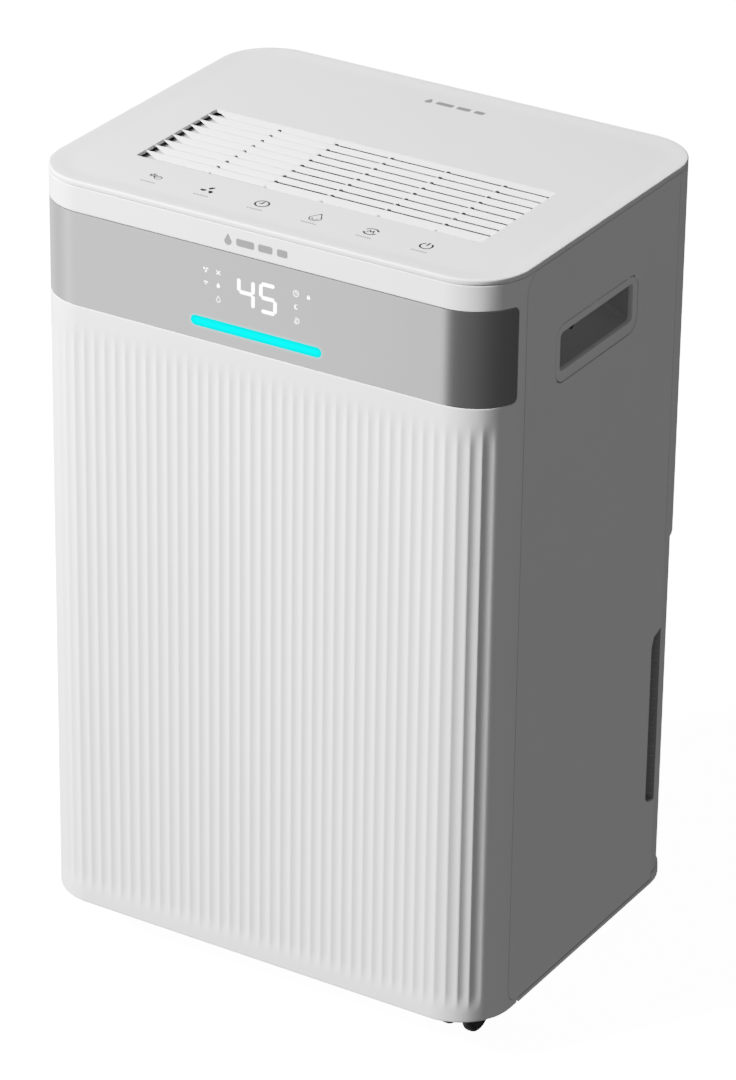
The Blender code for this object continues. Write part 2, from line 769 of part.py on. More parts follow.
def add_rear_cover():
    end_y = REAR_SEAM_Y + SEAM / 2
    cover = part(
        "rear_cover",
        prism([u_wall(0, WALL, end_y, 1)], TANK_TOP + SEAM, LID_LINE - SEAM),
        "white_plastic",
    )
    near = INNER_Y - 0.002
    far = HALF_Y + 0.002
    openings = [
        prism([intake_outline(SLIP)], near, far, "Y"),
        cylinder(SPOUT_RADIUS + PLUG_WALL + 2 * SLIP, (PORT_X, LOW + PORT_Z), near, far, "Y", 24),
        cylinder(GLAND_RADIUS * 0.8 + SEAM, (GLAND_X, LOW + PORT_Z), near, far, "Y", 24),
    ]
    for place in screw_places().values():
        openings.append(cylinder(SCREW_RADIUS + SEAM, place, near, far, "Y", 16))
    cut(cover, together(openings))
    for side, place in screw_places().items():
        profile = [
            (0, HALF_Y - 0.0003),
            (SCREW_RADIUS, HALF_Y - 0.0006),
            (SCREW_RADIUS, HALF_Y - 0.0025),
            (0.0016, HALF_Y - 0.0025),
            (0.0016, INNER_Y - 0.006),
            (0, INNER_Y - 0.0065),
        ]
        part(f"rear_screw_{side}", turned(profile, place, "Y", 16), "galvanised_steel")
    gland = turned(
        [
            (0.0035, HALF_Y - 0.0001),
            (GLAND_RADIUS * 0.8, HALF_Y - 0.0001),
            (GLAND_RADIUS * 0.8, INNER_Y - SEAM),
            (GLAND_RADIUS, INNER_Y - SEAM),
            (GLAND_RADIUS, INNER_Y - SEAM - 0.003),
            (0.0035, INNER_Y - SEAM - 0.003),
            (0.0035, HALF_Y - 0.0001),
        ],
        (GLAND_X, LOW + PORT_Z),
        "Y",
        24,
    )
    part("cord_gland", gland, "rubber")


def add_intake():
    """The louvred filter frame, which pulls off to the rear, and the filter cloth behind it."""
    outside = HALF_Y - 0.0002
    inside = outside - INTAKE_THICKNESS
    pivot = (0, outside, LOW + (INTAKE_LOW + INTAKE_HIGH) / 2)
    margin = 0.012
    pitch = (INTAKE_HIGH - INTAKE_LOW - 2 * margin) / LOUVRE_COUNT
    slots = []
    for row in range(LOUVRE_COUNT):
        centre = LOW + INTAKE_LOW + margin + (row + 0.5) * pitch
        for u_low, u_high in ((-INTAKE_WIDTH / 2 + margin, -0.004), (0.004, INTAKE_WIDTH / 2 - margin)):
            slots.append(rounded(u_low, u_high, centre - pitch * 0.3, centre + pitch * 0.3, 0))
    part("intake_grille", prism([intake_outline(), *slots], inside, outside, "Y"), "white_plastic", pivot)
    half = INTAKE_WIDTH / 2 - 0.004
    cloth = rounded(-half, half, LOW + INTAKE_LOW + 0.004, LOW + INTAKE_HIGH - 0.004, 0.004, 2)
    back = inside - SEAM
    part("filter_mesh", prism([cloth], back - FILTER_THICKNESS, back, "Y"), "filter_cloth", pivot)


# ---- Water side ---------------------------------------------------------------------------


def add_tank():
    half = TANK_WIDTH / 2
    tank_low = FLOOR + NEST
    end_y = REAR_SEAM_Y + SEAM
    plan = u_path(TANK_INSET, end_y, 1)
    plan += [(-half, end_y), (-half, TANK_FRONT_Y), (half, TANK_FRONT_Y), (half, end_y)]
    pivot = (0, TANK_FRONT_Y, tank_low)
    tank = part("water_tank", prism([plan], tank_low, TANK_TOP - SEAM), "tank_plastic", pivot)
    clear = 2 * HALF_X
    step_y = end_y - 0.001
    above = u_path(TANK_INSET + TANK_WALL - 0.0003, step_y, 1)
    above += [(-clear, step_y), (-clear, 0), (clear, 0), (clear, step_y)]
    cut(tank, prism([above], TANK_RIM, TANK_TOP + 0.01), "MANIFOLD")
    back = HALF_Y - TANK_INSET - TANK_WALL
    hollow = rounded(-half + TANK_WALL, half - TANK_WALL, TANK_FRONT_Y + TANK_WALL, back, 0.020, 5)
    cut(tank, prism([hollow], tank_low + TANK_WALL, TANK_TOP + 0.02), "MANIFOLD")

    cover_low = TANK_RIM + SEAM
    cover_high = cover_low + TANK_COVER_THICKNESS
    cover_back = back - SEAM
    plan = rounded(-half + 0.001, half - 0.001, TANK_FRONT_Y + 0.001, REAR_SEAM_Y, 0.003, 2)
    cover = part(
        "tank_cover",
        prism([plan, circle(DRAIN_X, DRAIN_Y, 0.016)], cover_low, cover_high),
        "tank_plastic",
        pivot,
    )
    tongue = rounded(-half + 0.03, half - 0.03, REAR_SEAM_Y - 0.01, cover_back, 0.003, 2)
    join(cover, prism([tongue], cover_low + 0.0001, cover_high - 0.0001), "MANIFOLD")
    cage_half = FLOAT_SIZE / 2 + SLIP
    cage_y = TANK_FRONT_Y + TANK_WALL + 0.002 + cage_half + 0.0015
    cage_low = cover_low - FLOAT_TRAVEL - FLOAT_HEIGHT - 2 * SLIP - 0.0015
    cage = box(
        (FLOAT_X - cage_half - 0.0015, cage_y - cage_half - 0.0015, cage_low),
        (FLOAT_X + cage_half + 0.0015, cage_y + cage_half + 0.0015, cover_low + 0.001),
    )
    join(cover, cage, "MANIFOLD")
    well = box(
        (FLOAT_X - cage_half, cage_y - cage_half, cage_low + 0.0015),
        (FLOAT_X + cage_half, cage_y + cage_half, cover_low + 0.0001),
    )
    cut(cover, well, "MANIFOLD")
    hole = FLOAT_SIZE / 2 - 0.003
    outlet = box(
        (FLOAT_X - hole, cage_y - hole, cage_low - 0.01),
        (FLOAT_X + hole, cage_y + hole, cover_low - 0.004),
    )
    cut(cover, outlet, "MANIFOLD")
    float_low = cage_low + 0.0015 + SEAM
    size = FLOAT_SIZE / 2
    part(
        "tank_float",
        prism(
            [rounded(FLOAT_X - size, FLOAT_X + size, cage_y - size, cage_y + size, 0.003, 3)],
            float_low,
            float_low + FLOAT_HEIGHT,
        ),
        "white_plastic",
        (FLOAT_X, cage_y, float_low),
    )
    switch = box(
        (FLOAT_X - 0.012, BULKHEAD_Y + SHEET + SEAM, float_low + FLOAT_TRAVEL),
        (FLOAT_X + 0.012, TANK_FRONT_Y - 0.0015, float_low + FLOAT_TRAVEL + 0.016),
    )
    part("level_switch", switch, "black_plastic")


def add_drip_tray():
    half = TRAY_WIDTH / 2
    front = CONDENSER_BACK_Y - COIL_DEPTH - 0.006
    back = INNER_Y - 0.0125
    inner = TRAY_WALL
    high = TRAY_LOW + TRAY_HEIGHT
    outline = rounded(-half, half, front, back, 0.004, 3)
    tray = part("drip_tray", prism([outline], TRAY_LOW, high), "grey_plastic")
    hollow = rounded(-half + inner, half - inner, front + inner, back - inner, 0.002, 2)
    cut(tray, prism([hollow], TRAY_LOW + TRAY_WALL, high + 0.01))
    outlet_z = TRAY_LOW + TRAY_HEIGHT / 2
    cut(tray, cylinder(DRAIN_RADIUS, (DRAIN_X, DRAIN_Y), TRAY_LOW - 0.01, high, sides=20))
    cut(tray, cylinder(SPOUT_RADIUS - SPOUT_WALL, (PORT_X, outlet_z), back - 0.006, back + 0.006, "Y", 16))
    spout_back = HALF_Y - 0.003
    bore = SPOUT_RADIUS - SPOUT_WALL
    profile = [
        (bore, spout_back),
        (SPOUT_RADIUS, spout_back),
        (SPOUT_RADIUS, back + SEAM),
        (bore, back + SEAM),
        (bore, spout_back),
    ]
    spout = turned(profile, (0, 0), "Z", 20)
    spout.transform(AXES["Y"] @ Matrix.Translation((PORT_X, LOW + PORT_Z, 0)))
    part("drain_spout", close_up(spout), "grey_plastic")
    outer = SPOUT_RADIUS + SLIP + PLUG_WALL
    inner = SPOUT_RADIUS + SLIP
    cap = [
        (0, HALF_Y - 0.0004),
        (outer - 0.001, HALF_Y - 0.0004),
        (outer, HALF_Y - 0.0012),
        (outer, INNER_Y - 0.001),
        (inner, INNER_Y - 0.001),
        (inner, spout_back + SEAM),
        (0, spout_back + SEAM),
    ]
    plug = turned(cap, (PORT_X, LOW + PORT_Z), "Y", 20)
    part("drain_plug", plug, "rubber", (PORT_X, HALF_Y, LOW + PORT_Z))


# ---- Chassis and refrigeration ------------------------------------------------------------


def add_chassis():
    """A bulkhead in front of the tank and a deck over it, folded from one sheet."""
    half = INNER_X - NEST
    section = [
        (BULKHEAD_Y, FLOOR + SEAM),
        (BULKHEAD_Y + SHEET, FLOOR + SEAM),
        (BULKHEAD_Y + SHEET, DECK_LOW),
        (INNER_Y - 0.012, DECK_LOW),
        (INNER_Y - 0.012, DECK_HIGH),
        (BULKHEAD_Y, DECK_HIGH),
    ]
    sheet = part("chassis_frame", prism([section], -half, half, "X"), "galvanised_steel")
    reach = half + 0.001
    clip = CORNER_RADIUS
    corners = [
        prism([[(s * reach, INNER_Y), (s * reach, REAR_SEAM_Y - 0.002), (s * (reach - clip), INNER_Y)]],
              DECK_LOW - 0.01, DECK_HIGH + 0.01)
        for s in (-1, 1)
    ]
    cut(sheet, together(corners))
    drain = (DRAIN_X, DRAIN_Y)
    cut(sheet, cylinder(DRAIN_RADIUS + 0.003, drain, DECK_LOW - 0.01, DECK_HIGH + 0.01, sides=20))


def fin_outline(back_y):
    """A finned block in plan: a solid core with fins to the front and the back."""
    half = COIL_WIDTH / 2
    front_y = back_y - COIL_DEPTH
    pitch = COIL_WIDTH / FIN_COUNT
    root = 0.007
    rear = []
    fore = []
    for fin in range(FIN_COUNT):
        start = -half + fin * pitch
        middle = start + pitch / 2
        for x, at_root in ((start, False), (middle, False), (middle, True), (start + pitch, True)):
            x = min(x, half - 0.001)
            rear.append((x, back_y - root if at_root else back_y))
            fore.append((x, front_y + root if at_root else front_y))
    rear[-1] = (half, back_y - root)
    fore[-1] = (half, front_y + root)
    return fore + rear[::-1]


def add_coils():
    for name, back_y in (("condenser_coil", CONDENSER_BACK_Y), ("evaporator_coil", EVAPORATOR_BACK_Y)):
        part(name, prism([fin_outline(back_y)], COIL_LOW, COIL_LOW + COIL_HEIGHT), "aluminium")


def add_compressor():
    centre = (COMPRESSOR_X, COMPRESSOR_Y)
    foot_low = FLOOR + GROMMET_HEIGHT + SEAM
    low = foot_low + SHEET
    high = low + COMPRESSOR_HEIGHT
    r = COMPRESSOR_RADIUS
    dome = 0.022
    profile = [(r * sin(radians(a)), high - dome + dome * cos(radians(a))) for a in range(0, 91, 30)]
    profile += [(r * cos(radians(a)), low + dome - dome * sin(radians(a))) for a in range(0, 91, 30)]
    body = part("compressor", turned(profile, centre, "Z", 28), "enamelled_steel")
    half = FOOT_SIZE / 2
    foot = rounded(centre[0] - half, centre[0] + half, centre[1] - half, centre[1] + half, 0.016, 4)
    join(body, prism([foot], foot_low, low + 0.002))
    reach = half - 0.014
    mat = part("compressor_mat", prism([foot], FLOOR + SEAM, FLOOR + 0.0025), "rubber")
    corners = [(centre[0] + reach * u, centre[1] + reach * v) for u in (-1, 1) for v in (-1, 1)]
    bosses = [cylinder(0.009, place, FLOOR + 0.001, foot_low - SEAM, sides=16) for place in corners]
    join(mat, together(bosses))
    cap_x = centre[0] + 0.012
    join(body, cylinder(0.017, (cap_x, centre[1]), high - 0.010, high + 0.018, sides=24))
    x = centre[0] + r + ACCUMULATOR_RADIUS + 0.005
    acc_low = low + 0.020
    acc_high = acc_low + ACCUMULATOR_HEIGHT
    a = ACCUMULATOR_RADIUS
    profile = [(0, acc_high), (a * 0.7, acc_high - 0.002), (a, acc_high - 0.010), (a, acc_low + 0.010)]
    profile += [(a * 0.7, acc_low + 0.002), (0, acc_low)]
    accumulator = part("accumulator", turned(profile, (x, centre[1]), "Z", 24), "enamelled_steel")
    strap = box(
        (centre[0] + r + SEAM, centre[1] - 0.005, acc_low + 0.06),
        (x - a + 0.004, centre[1] + 0.005, acc_low + 0.08),
    )
    join(accumulator, strap)
    return high, (x, acc_high)


def add_pipes(compressor_top, accumulator):
    """The refrigerant pipes, which climb the left side, clear of the handle cup."""
    left = -COIL_WIDTH / 2 - BRAZE_GAP
    condenser_y = CONDENSER_BACK_Y - COIL_DEPTH / 2
    evaporator_y = EVAPORATOR_BACK_Y - COIL_DEPTH / 2
    lane = -INNER_X + 0.014
    hot = -0.030
    part(
        "discharge_pipe",
        tube(
            [
                (COMPRESSOR_X + hot, COMPRESSOR_Y, compressor_top),
                (COMPRESSOR_X + hot, COMPRESSOR_Y, compressor_top + 0.020),
                (COMPRESSOR_X - 0.060, COMPRESSOR_Y + 0.010, compressor_top + 0.045),
                (lane + 0.010, COMPRESSOR_Y + 0.030, DECK_HIGH - 0.020),
                (lane + 0.004, 0.0, COIL_LOW + 0.040),
                (lane + 0.004, condenser_y - 0.020, COIL_LOW + 0.070),
                (lane + 0.006, condenser_y, COIL_LOW + 0.080),
                (left, condenser_y, COIL_LOW + 0.082),
            ],
            DISCHARGE_RADIUS,
        ),
        "copper",
    )
    acc_x, acc_top = accumulator
    part(
        "suction_pipe",
        tube(
            [
                (acc_x, COMPRESSOR_Y, acc_top + SEAM + 0.003),
                (acc_x, COMPRESSOR_Y, acc_top + 0.030),
                (acc_x - 0.015, COMPRESSOR_Y + 0.040, acc_top + 0.075),
                (COMPRESSOR_X - 0.030, BULKHEAD_Y - 0.016, acc_top + 0.085),
                (lane + 0.020, BULKHEAD_Y - 0.014, acc_top + 0.095),
                (lane + 0.002, BULKHEAD_Y, DECK_HIGH + 0.020),
                (lane + 0.001, evaporator_y - 0.012, COIL_LOW + 0.030),
                (left, evaporator_y, COIL_LOW + 0.032),
            ],
            SUCTION_RADIUS,
        ),
        "copper",
    )
    coil = [
        (left, condenser_y, COIL_LOW + 0.130),
        (left - 0.0114, condenser_y, COIL_LOW + 0.131),
        (left - 0.0174, condenser_y + 0.006, COIL_LOW + 0.140),
        (left - 0.0174, evaporator_y - 0.006, COIL_LOW + 0.160),
        (left - 0.0114, evaporator_y, COIL_LOW + 0.169),
        (left, evaporator_y, COIL_LOW + 0.170),
    ]
    part("capillary_tube", tube(coil, CAPILLARY_RADIUS), "copper")


# ---- Air path -----------------------------------------------------------------------------


def scroll_outline(inset):
    """The housing in (x, z): a scroll that opens upwards into a duct as wide as the open bays."""
    path = []
    for step in range(19):
        turn = radians(140 + step * 12)
        radius = SCROLL_RADIUS + SCROLL_GROWTH * step / 18 - inset
        path.append((BLOWER_X + radius * cos(turn), BLOWER_Z + radius * sin(turn)))
    top = HOUSING_TOP + (0.02 if inset else 0)
    shoulder = HOUSING_TOP - 0.035
    right = OUTLET_RIGHT - DUCT_INSET - inset
    left = OUTLET_LEFT + DUCT_INSET + inset
    return path + [(right, shoulder), (right, top), (left, top), (left, shoulder)]


def add_blower():
    centre = (BLOWER_X, BLOWER_Z)
    housing = part(
        "blower_housing",
        prism([scroll_outline(0)], HOUSING_FRONT_Y, HOUSING_BACK_Y, "Y"),
        "grey_plastic",
    )
    front, back = HOUSING_FRONT_Y, HOUSING_BACK_Y
    cut(housing, prism([scroll_outline(HOUSING_WALL)], front + HOUSING_WALL, back - HOUSING_WALL, "Y"))
    cut(housing, cylinder(BLOWER_RADIUS - 0.006, centre, back - 0.01, back + 0.01, "Y", 40))
    cut(housing, cylinder(SHAFT_RADIUS + 0.003, centre, front - 0.01, front + 0.01, "Y", 20))

    middle = (HOUSING_FRONT_Y + HOUSING_BACK_Y) / 2
    front = middle - BLOWER_WIDTH / 2
    back = middle + BLOWER_WIDTH / 2
    bore = SHAFT_RADIUS + SEAM
    rim = BLOWER_RADIUS
    profile = [
        (rim, back),
        (rim, front),
        (bore, front),
        (bore, front + 0.022),
        (0.012, front + 0.022),
        (0.014, front + 0.003),
        (rim - 0.012, front + 0.003),
        (rim - 0.012, back),
        (rim, back),
    ]
    pivot = (BLOWER_X, middle, BLOWER_Z)
    mesh = turned(profile[::-1], (0, 0), "Z", 40)
    mesh.transform(AXES["Y"] @ Matrix.Translation((*centre, 0)))
    wheel = part("blower_wheel", close_up(mesh), "black_plastic", pivot)
    gap = 2 * pi * rim / VANE_COUNT * 0.32
    slots = []
    for vane in range(VANE_COUNT):
        slot = box((rim - 0.018, front + 0.006, -gap), (rim + 0.006, back - 0.004, gap))
        spin = Matrix.Rotation(2 * pi * vane / VANE_COUNT, 4, "Y")
        slot.transform(Matrix.Translation((BLOWER_X, 0, BLOWER_Z)) @ spin)
        slots.append(slot)
    cut(wheel, together(slots))

    motor_back = HOUSING_FRONT_Y - SEAM
    motor_front = motor_back - MOTOR_LENGTH
    r = MOTOR_RADIUS
    profile = [
        (SHAFT_RADIUS + SEAM, motor_back),
        (r * 0.8, motor_back),
        (r, motor_back - 0.006),
        (r, motor_front + 0.008),
        (r * 0.8, motor_front),
        (SHAFT_RADIUS + SEAM, motor_front),
        (SHAFT_RADIUS + SEAM, motor_back),
    ]
    part("fan_motor", turned(profile, centre, "Y", 36), "galvanised_steel")
    shaft = cylinder(SHAFT_RADIUS, centre, motor_front - 0.002, front + 0.022, "Y", 20)
    part("motor_shaft", shaft, "galvanised_steel", pivot)
    right = OUTLET_LEFT + DUCT_INSET - 0.0004
    high = HOUSING_TOP - 0.012
    width, depth, height = IONISER_SIZE
    ioniser = box((right - width, -0.030, high - height), (right, -0.030 + depth, high))
    part("ioniser", ioniser, "black_plastic")


def add_controls():
    low = LOW + 0.085
    high = low + CONTROL_BOX_HEIGHT
    left = 0.066
    right = INNER_X - 0.012
    front = -INNER_Y + 0.014
    back = front + CONTROL_BOX_DEPTH
    wall = CONTROL_BOX_WALL
    case = part("control_box", box((left, front, low), (right, back, high)), "galvanised_steel")
    cut(case, box((left + wall, front - 0.01, low + wall), (right - wall, back - wall, high - wall)))
    board_front = back - 0.010
    board_back = board_front + BOARD_THICKNESS
    inset = 0.005
    blank = box((left + inset, board_front, low + inset), (right - inset, board_back, high - inset))
    board = part("control_board", blank, "circuit_board")
    on_board = board_front + 0.001
    relays = []
    for n in range(3):
        near = left + 0.015 + 0.024 * n
        relays.append(box((near, back - 0.024, low + 0.110), (near + 0.016, on_board, low + 0.128)))
    transformer = box((left + 0.030, back - 0.040, low + 0.025), (left + 0.070, on_board, low + 0.065))
    join(board, together([*relays, transformer]))
    centre = ((left + right) / 2, (front + back) / 2)
    can = cylinder(CAPACITOR_RADIUS, centre, FLOOR + SEAM, low - 0.002, sides=28)
    part("run_capacitor", can, "aluminium")
    width, depth, height = SENSOR_SIZE
    near = COIL_WIDTH / 2 + 0.004
    behind = REAR_SEAM_Y - 0.004
    high = COIL_LOW + COIL_HEIGHT - 0.012
    sensor = box((near, behind - depth, high - height), (near + width, behind, high))
    part("humidity_sensor", sensor, "grey_plastic")


def round_off():
    """Smooth shading on round stretches and crisp edges elsewhere."""
    for piece in parts.objects:
        if piece.type == "MESH":
            piece.data.shade_smooth()
            piece.data.set_sharp_from_angle(angle=radians(32))


def main():
    clear_scene()
    add_casters()
    add_base_pan()
    add_front_panel()
    add_display()
    add_top_cover()
    add_outlet_grille()
    add_sides()
    add_rear_cover()
    add_intake()
    add_tank()
    add_chassis()
    add_drip_tray()
    add_coils()
    top, accumulator = add_compressor()
    add_pipes(top, accumulator)
    add_blower()
    add_controls()
    round_off()


main()
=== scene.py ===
"""The finished look of a portable dehumidifier, built piece by piece around its working frame."""

import json
from math import atan2, cos, hypot, pi, radians, sin, sqrt

import bmesh
import bpy
from mathutils import Matrix, Vector

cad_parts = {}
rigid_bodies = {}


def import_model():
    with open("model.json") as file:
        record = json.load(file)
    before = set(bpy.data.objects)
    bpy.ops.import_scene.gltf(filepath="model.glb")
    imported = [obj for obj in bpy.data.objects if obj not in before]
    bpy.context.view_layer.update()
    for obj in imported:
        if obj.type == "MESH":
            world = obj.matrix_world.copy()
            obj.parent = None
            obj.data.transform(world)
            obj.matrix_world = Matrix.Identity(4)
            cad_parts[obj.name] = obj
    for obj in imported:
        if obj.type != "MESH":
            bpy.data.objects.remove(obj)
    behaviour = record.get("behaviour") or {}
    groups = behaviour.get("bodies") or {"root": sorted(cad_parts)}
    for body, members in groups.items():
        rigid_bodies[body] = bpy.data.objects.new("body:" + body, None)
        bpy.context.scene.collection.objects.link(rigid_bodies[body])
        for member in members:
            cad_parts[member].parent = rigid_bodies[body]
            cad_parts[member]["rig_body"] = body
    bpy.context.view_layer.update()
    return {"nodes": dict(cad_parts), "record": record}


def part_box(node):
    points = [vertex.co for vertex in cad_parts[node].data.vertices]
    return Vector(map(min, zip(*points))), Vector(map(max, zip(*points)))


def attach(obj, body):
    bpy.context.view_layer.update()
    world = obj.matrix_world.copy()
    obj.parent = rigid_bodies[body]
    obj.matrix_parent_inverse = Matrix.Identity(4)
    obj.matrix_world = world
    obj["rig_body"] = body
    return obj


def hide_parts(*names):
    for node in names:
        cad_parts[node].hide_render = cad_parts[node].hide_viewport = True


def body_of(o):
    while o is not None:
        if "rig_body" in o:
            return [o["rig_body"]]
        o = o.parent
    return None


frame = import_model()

bl_info = {
    "name": "Portable Dehumidifier",
    "version": (1, 0, 0),
    "blender": (4, 5, 0),
    "location": "View3D > Sidebar > Dehumidifier",
    "description": "Builds the covers, display, grille, casters and inner pieces of a dehumidifier",
    "category": "Add Mesh",
}

MM = 0.001
SLOT_OF = {entry["node"]: entry["material_slot"] for entry in frame["record"]["subparts"]}
KNOWN_SLOTS = {entry["slot"] for entry in frame["record"]["materials"]}

# ---- Places read from the frame -----------------------------------------------------------

HALF_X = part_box("top_cover")[1].x
HALF_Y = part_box("top_cover")[1].y
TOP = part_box("top_cover")[1].z
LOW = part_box("front_panel")[0].z
SHELL_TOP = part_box("front_panel")[1].z
BAND_LOW, BAND_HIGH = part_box("display_band")[0].z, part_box("display_band")[1].z
BAND_END_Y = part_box("display_band")[1].y
PANEL_LOW, PANEL_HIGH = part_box("side_panel_right")
GRILLE_LOW, GRILLE_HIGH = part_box("outlet_grille")
CUP_LOW, CUP_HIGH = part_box("handle_cup_right")
BAR_LOW, BAR_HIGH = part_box("light_bar_lens")
BAR_HALF = (BAR_HIGH.z - BAR_LOW.z) / 2
BAR_LEVEL = (BAR_LOW.z + BAR_HIGH.z) / 2

WALL = HALF_X - PANEL_LOW.x
CORNER = 43.4 * MM
FLAT_X = HALF_X - CORNER
FLAT_Y = HALF_Y - CORNER
SEAM = 0.5 * MM
LID_LINE = SHELL_TOP + SEAM
DISH = 0.75 * MM


# ---- Settings -----------------------------------------------------------------------------


class DehumidifierSettings(bpy.types.PropertyGroup):
    """Sizes and colours of the covers and the display."""

    flute_pitch: bpy.props.FloatProperty(
        name="Flute pitch", description="Distance between two flutes", default=8.75 * MM, unit="LENGTH"
    )
    flute_depth: bpy.props.FloatProperty(
        name="Flute depth", description="Depth of a flute at its middle", default=0.92 * MM, unit="LENGTH"
    )
    humidity: bpy.props.IntProperty(
        name="Humidity", description="Number on the display, in percent", default=45, min=0, max=99
    )
    plastic_colour: bpy.props.FloatVectorProperty(
        name="Plastic", description="Colour of the covers", subtype="COLOR", default=(0.80, 0.80, 0.80)
    )
    band_colour: bpy.props.FloatVectorProperty(
        name="Band", description="Colour of the metallic band", subtype="COLOR", default=(0.60, 0.60, 0.605)
    )
    glow_colour: bpy.props.FloatVectorProperty(
        name="Glow", description="Colour of the light bar", subtype="COLOR", default=(0.0, 0.92, 0.92)
    )
    ink_colour: bpy.props.FloatVectorProperty(
        name="Ink", description="Colour of the printed marks", subtype="COLOR", default=(0.022, 0.022, 0.024)
    )


def settings():
    """The scene's own settings."""
    return bpy.context.scene.dehumidifier


# ---- Shader expressions -------------------------------------------------------------------


class Value:
    """A socket. Arithmetic on it adds Math nodes to its tree."""

    def __init__(self, tree, socket):
        self.tree = tree
        self.socket = socket

    def math(self, operation, *values):
        node = self.tree.nodes.new("ShaderNodeMath")
        node.operation = operation
        for place, value in enumerate(values):
            connect(self.tree, value, node.inputs[place])
        return Value(self.tree, node.outputs[0])

    def __add__(self, other):
        return self.math("ADD", self, other)

    def __radd__(self, other):
        return self.math("ADD", other, self)

    def __sub__(self, other):
        return self.math("SUBTRACT", self, other)

    def __rsub__(self, other):
        return self.math("SUBTRACT", other, self)

    def __mul__(self, other):
        return self.math("MULTIPLY", self, other)

    def __rmul__(self, other):
        return self.math("MULTIPLY", other, self)

    def __truediv__(self, other):
        return self.math("DIVIDE", self, other)

    def __rtruediv__(self, other):
        return self.math("DIVIDE", other, self)

    def __pow__(self, other):
        return self.math("POWER", self, other)

    def __rpow__(self, other):
        return self.math("POWER", other, self)

    def absolute(self):
        return self.math("ABSOLUTE", self)

    def above(self, other):
        return self.math("MAXIMUM", self, other)

    def below(self, other):
        return self.math("MINIMUM", self, other)


def connect(tree, value, socket):
    """Link a value to a socket, or store it there. A colour of three channels gets its alpha."""
    if isinstance(value, Value):
        tree.links.new(value.socket, socket)
        return
    if socket.type == "RGBA" and len(value) == 3:
        value = (*value, 1)
    socket.default_value = value


class Surface:
    """A material whose nodes all come from one method."""

    def __init__(self, name, **constants):
        self.material = bpy.data.materials.new(name)
        self.material.use_nodes = True
        self.tree = self.material.node_tree
        self.shader = self.tree.nodes["Principled BSDF"]
        for socket, value in constants.items():
            self.set(socket.replace("_", " ").title(), value)
        self.coordinates = self.node("ShaderNodeTexCoord", out="Object")

    def set(self, socket, value):
        """Give a shader socket a constant or a link. Its name may be in any case."""
        names = {name.lower(): name for name in self.shader.inputs.keys()}
        connect(self.tree, value, self.shader.inputs[names[socket.lower()]])

    def node(self, kind, settings=None, inputs=None, out=0):
        """One output of a new node, whose settings come first and then its sockets' values or links."""
        node = self.tree.nodes.new(kind)
        for key, value in (settings or {}).items():
            if key == "stops":
                ramp = node.color_ramp
                while len(ramp.elements) < len(value):
                    ramp.elements.new(0.5)
                for element, (place, colour) in zip(ramp.elements, value):
                    element.position = place
                    element.color = (*colour, 1)
            else:
                setattr(node, key, value)
        for key, value in (inputs or {}).items():
            connect(self.tree, value, node.inputs[key])
        return Value(self.tree, node.outputs[out])

    def axis(self, name):
        """The object's own X, Y or Z at a point."""
        return self.node("ShaderNodeSeparateXYZ", None, {"Vector": self.coordinates}, name)

    def scaled(self, x, y, z):
        """The object's coordinates, stretched by axis."""
        inputs = {0: self.coordinates, 1: (x, y, z)}
        return self.node("ShaderNodeVectorMath", {"operation": "MULTIPLY"}, inputs)

    def noise(self, scale, detail=2.0, vector=None, roughness=0.5):
        place = vector or self.coordinates
        inputs = {"Vector": place, "Scale": scale, "Detail": detail, "Roughness": roughness}
        return self.node("ShaderNodeTexNoise", None, inputs)

    def waves(self, direction, scale, profile="SIN", distortion=0.0):
        """Even bands along one axis."""
        form = {"wave_type": "BANDS", "bands_direction": direction, "wave_profile": profile}
        inputs = {"Vector": self.coordinates, "Scale": scale, "Distortion": distortion}
        return self.node("ShaderNodeTexWave", form, inputs, "Fac")

    def blend(self, factor, first, second):
        """A colour between two, mixed by a factor."""
        return self.node("ShaderNodeMix", {"data_type": "RGBA"}, {0: factor, 6: first, 7: second}, 2)

    def bump(self, height, distance):
        inputs = {"Height": height, "Distance": distance, "Strength": 1.0}
        self.set("Normal", self.node("ShaderNodeBump", None, inputs))


def shaded(colour, level):
    """A colour with its channels scaled."""
    return tuple(level * channel for channel in colour)


FINE_GRAIN = 0.02 * MM


def moulded(name, colour, roughness, grain=FINE_GRAIN, coat=0.0):
    """Moulded plastic: a fine grain, a faint cloudiness and slightly uneven gloss."""
    surface = Surface(name, coat_weight=coat)
    cloud = surface.noise(14, 3)
    fine = surface.noise(2400, 2)
    surface.set("Base Color", surface.blend(cloud, shaded(colour, 0.975), colour))
    surface.set("Roughness", roughness - 0.04 + cloud * 0.05 + fine * 0.03)
    surface.bump(fine, grain)
    return surface.material


def brushed(name, colour, roughness, along):
    """Metal with fine lines, drawn out by how far each axis is stretched."""
    surface = Surface(name, metallic=1.0)
    lines = surface.noise(1, 4, surface.scaled(*along), 0.7)
    cloud = surface.noise(9, 2)
    surface.set("Base Color", surface.blend(lines * 0.8 + cloud * 0.2, shaded(colour, 0.90), colour))
    surface.set("Roughness", roughness - 0.05 + lines * 0.10)
    surface.bump(lines, 0.01 * MM)
    return surface.material


def bar_distance(surface):
    """Distance from the line between the middles of the light bar's round ends."""
    beyond = (surface.axis("X").absolute() - ((BAR_HIGH.x - BAR_LOW.x) / 2 - BAR_HALF)).above(0.0)
    rise = surface.axis("Z") - BAR_LEVEL
    return (beyond * beyond + rise * rise) ** 0.5


HALO_REACH = 3.2 * MM
HALO_LEVEL = 0.34
HALO_FALL = 2.2


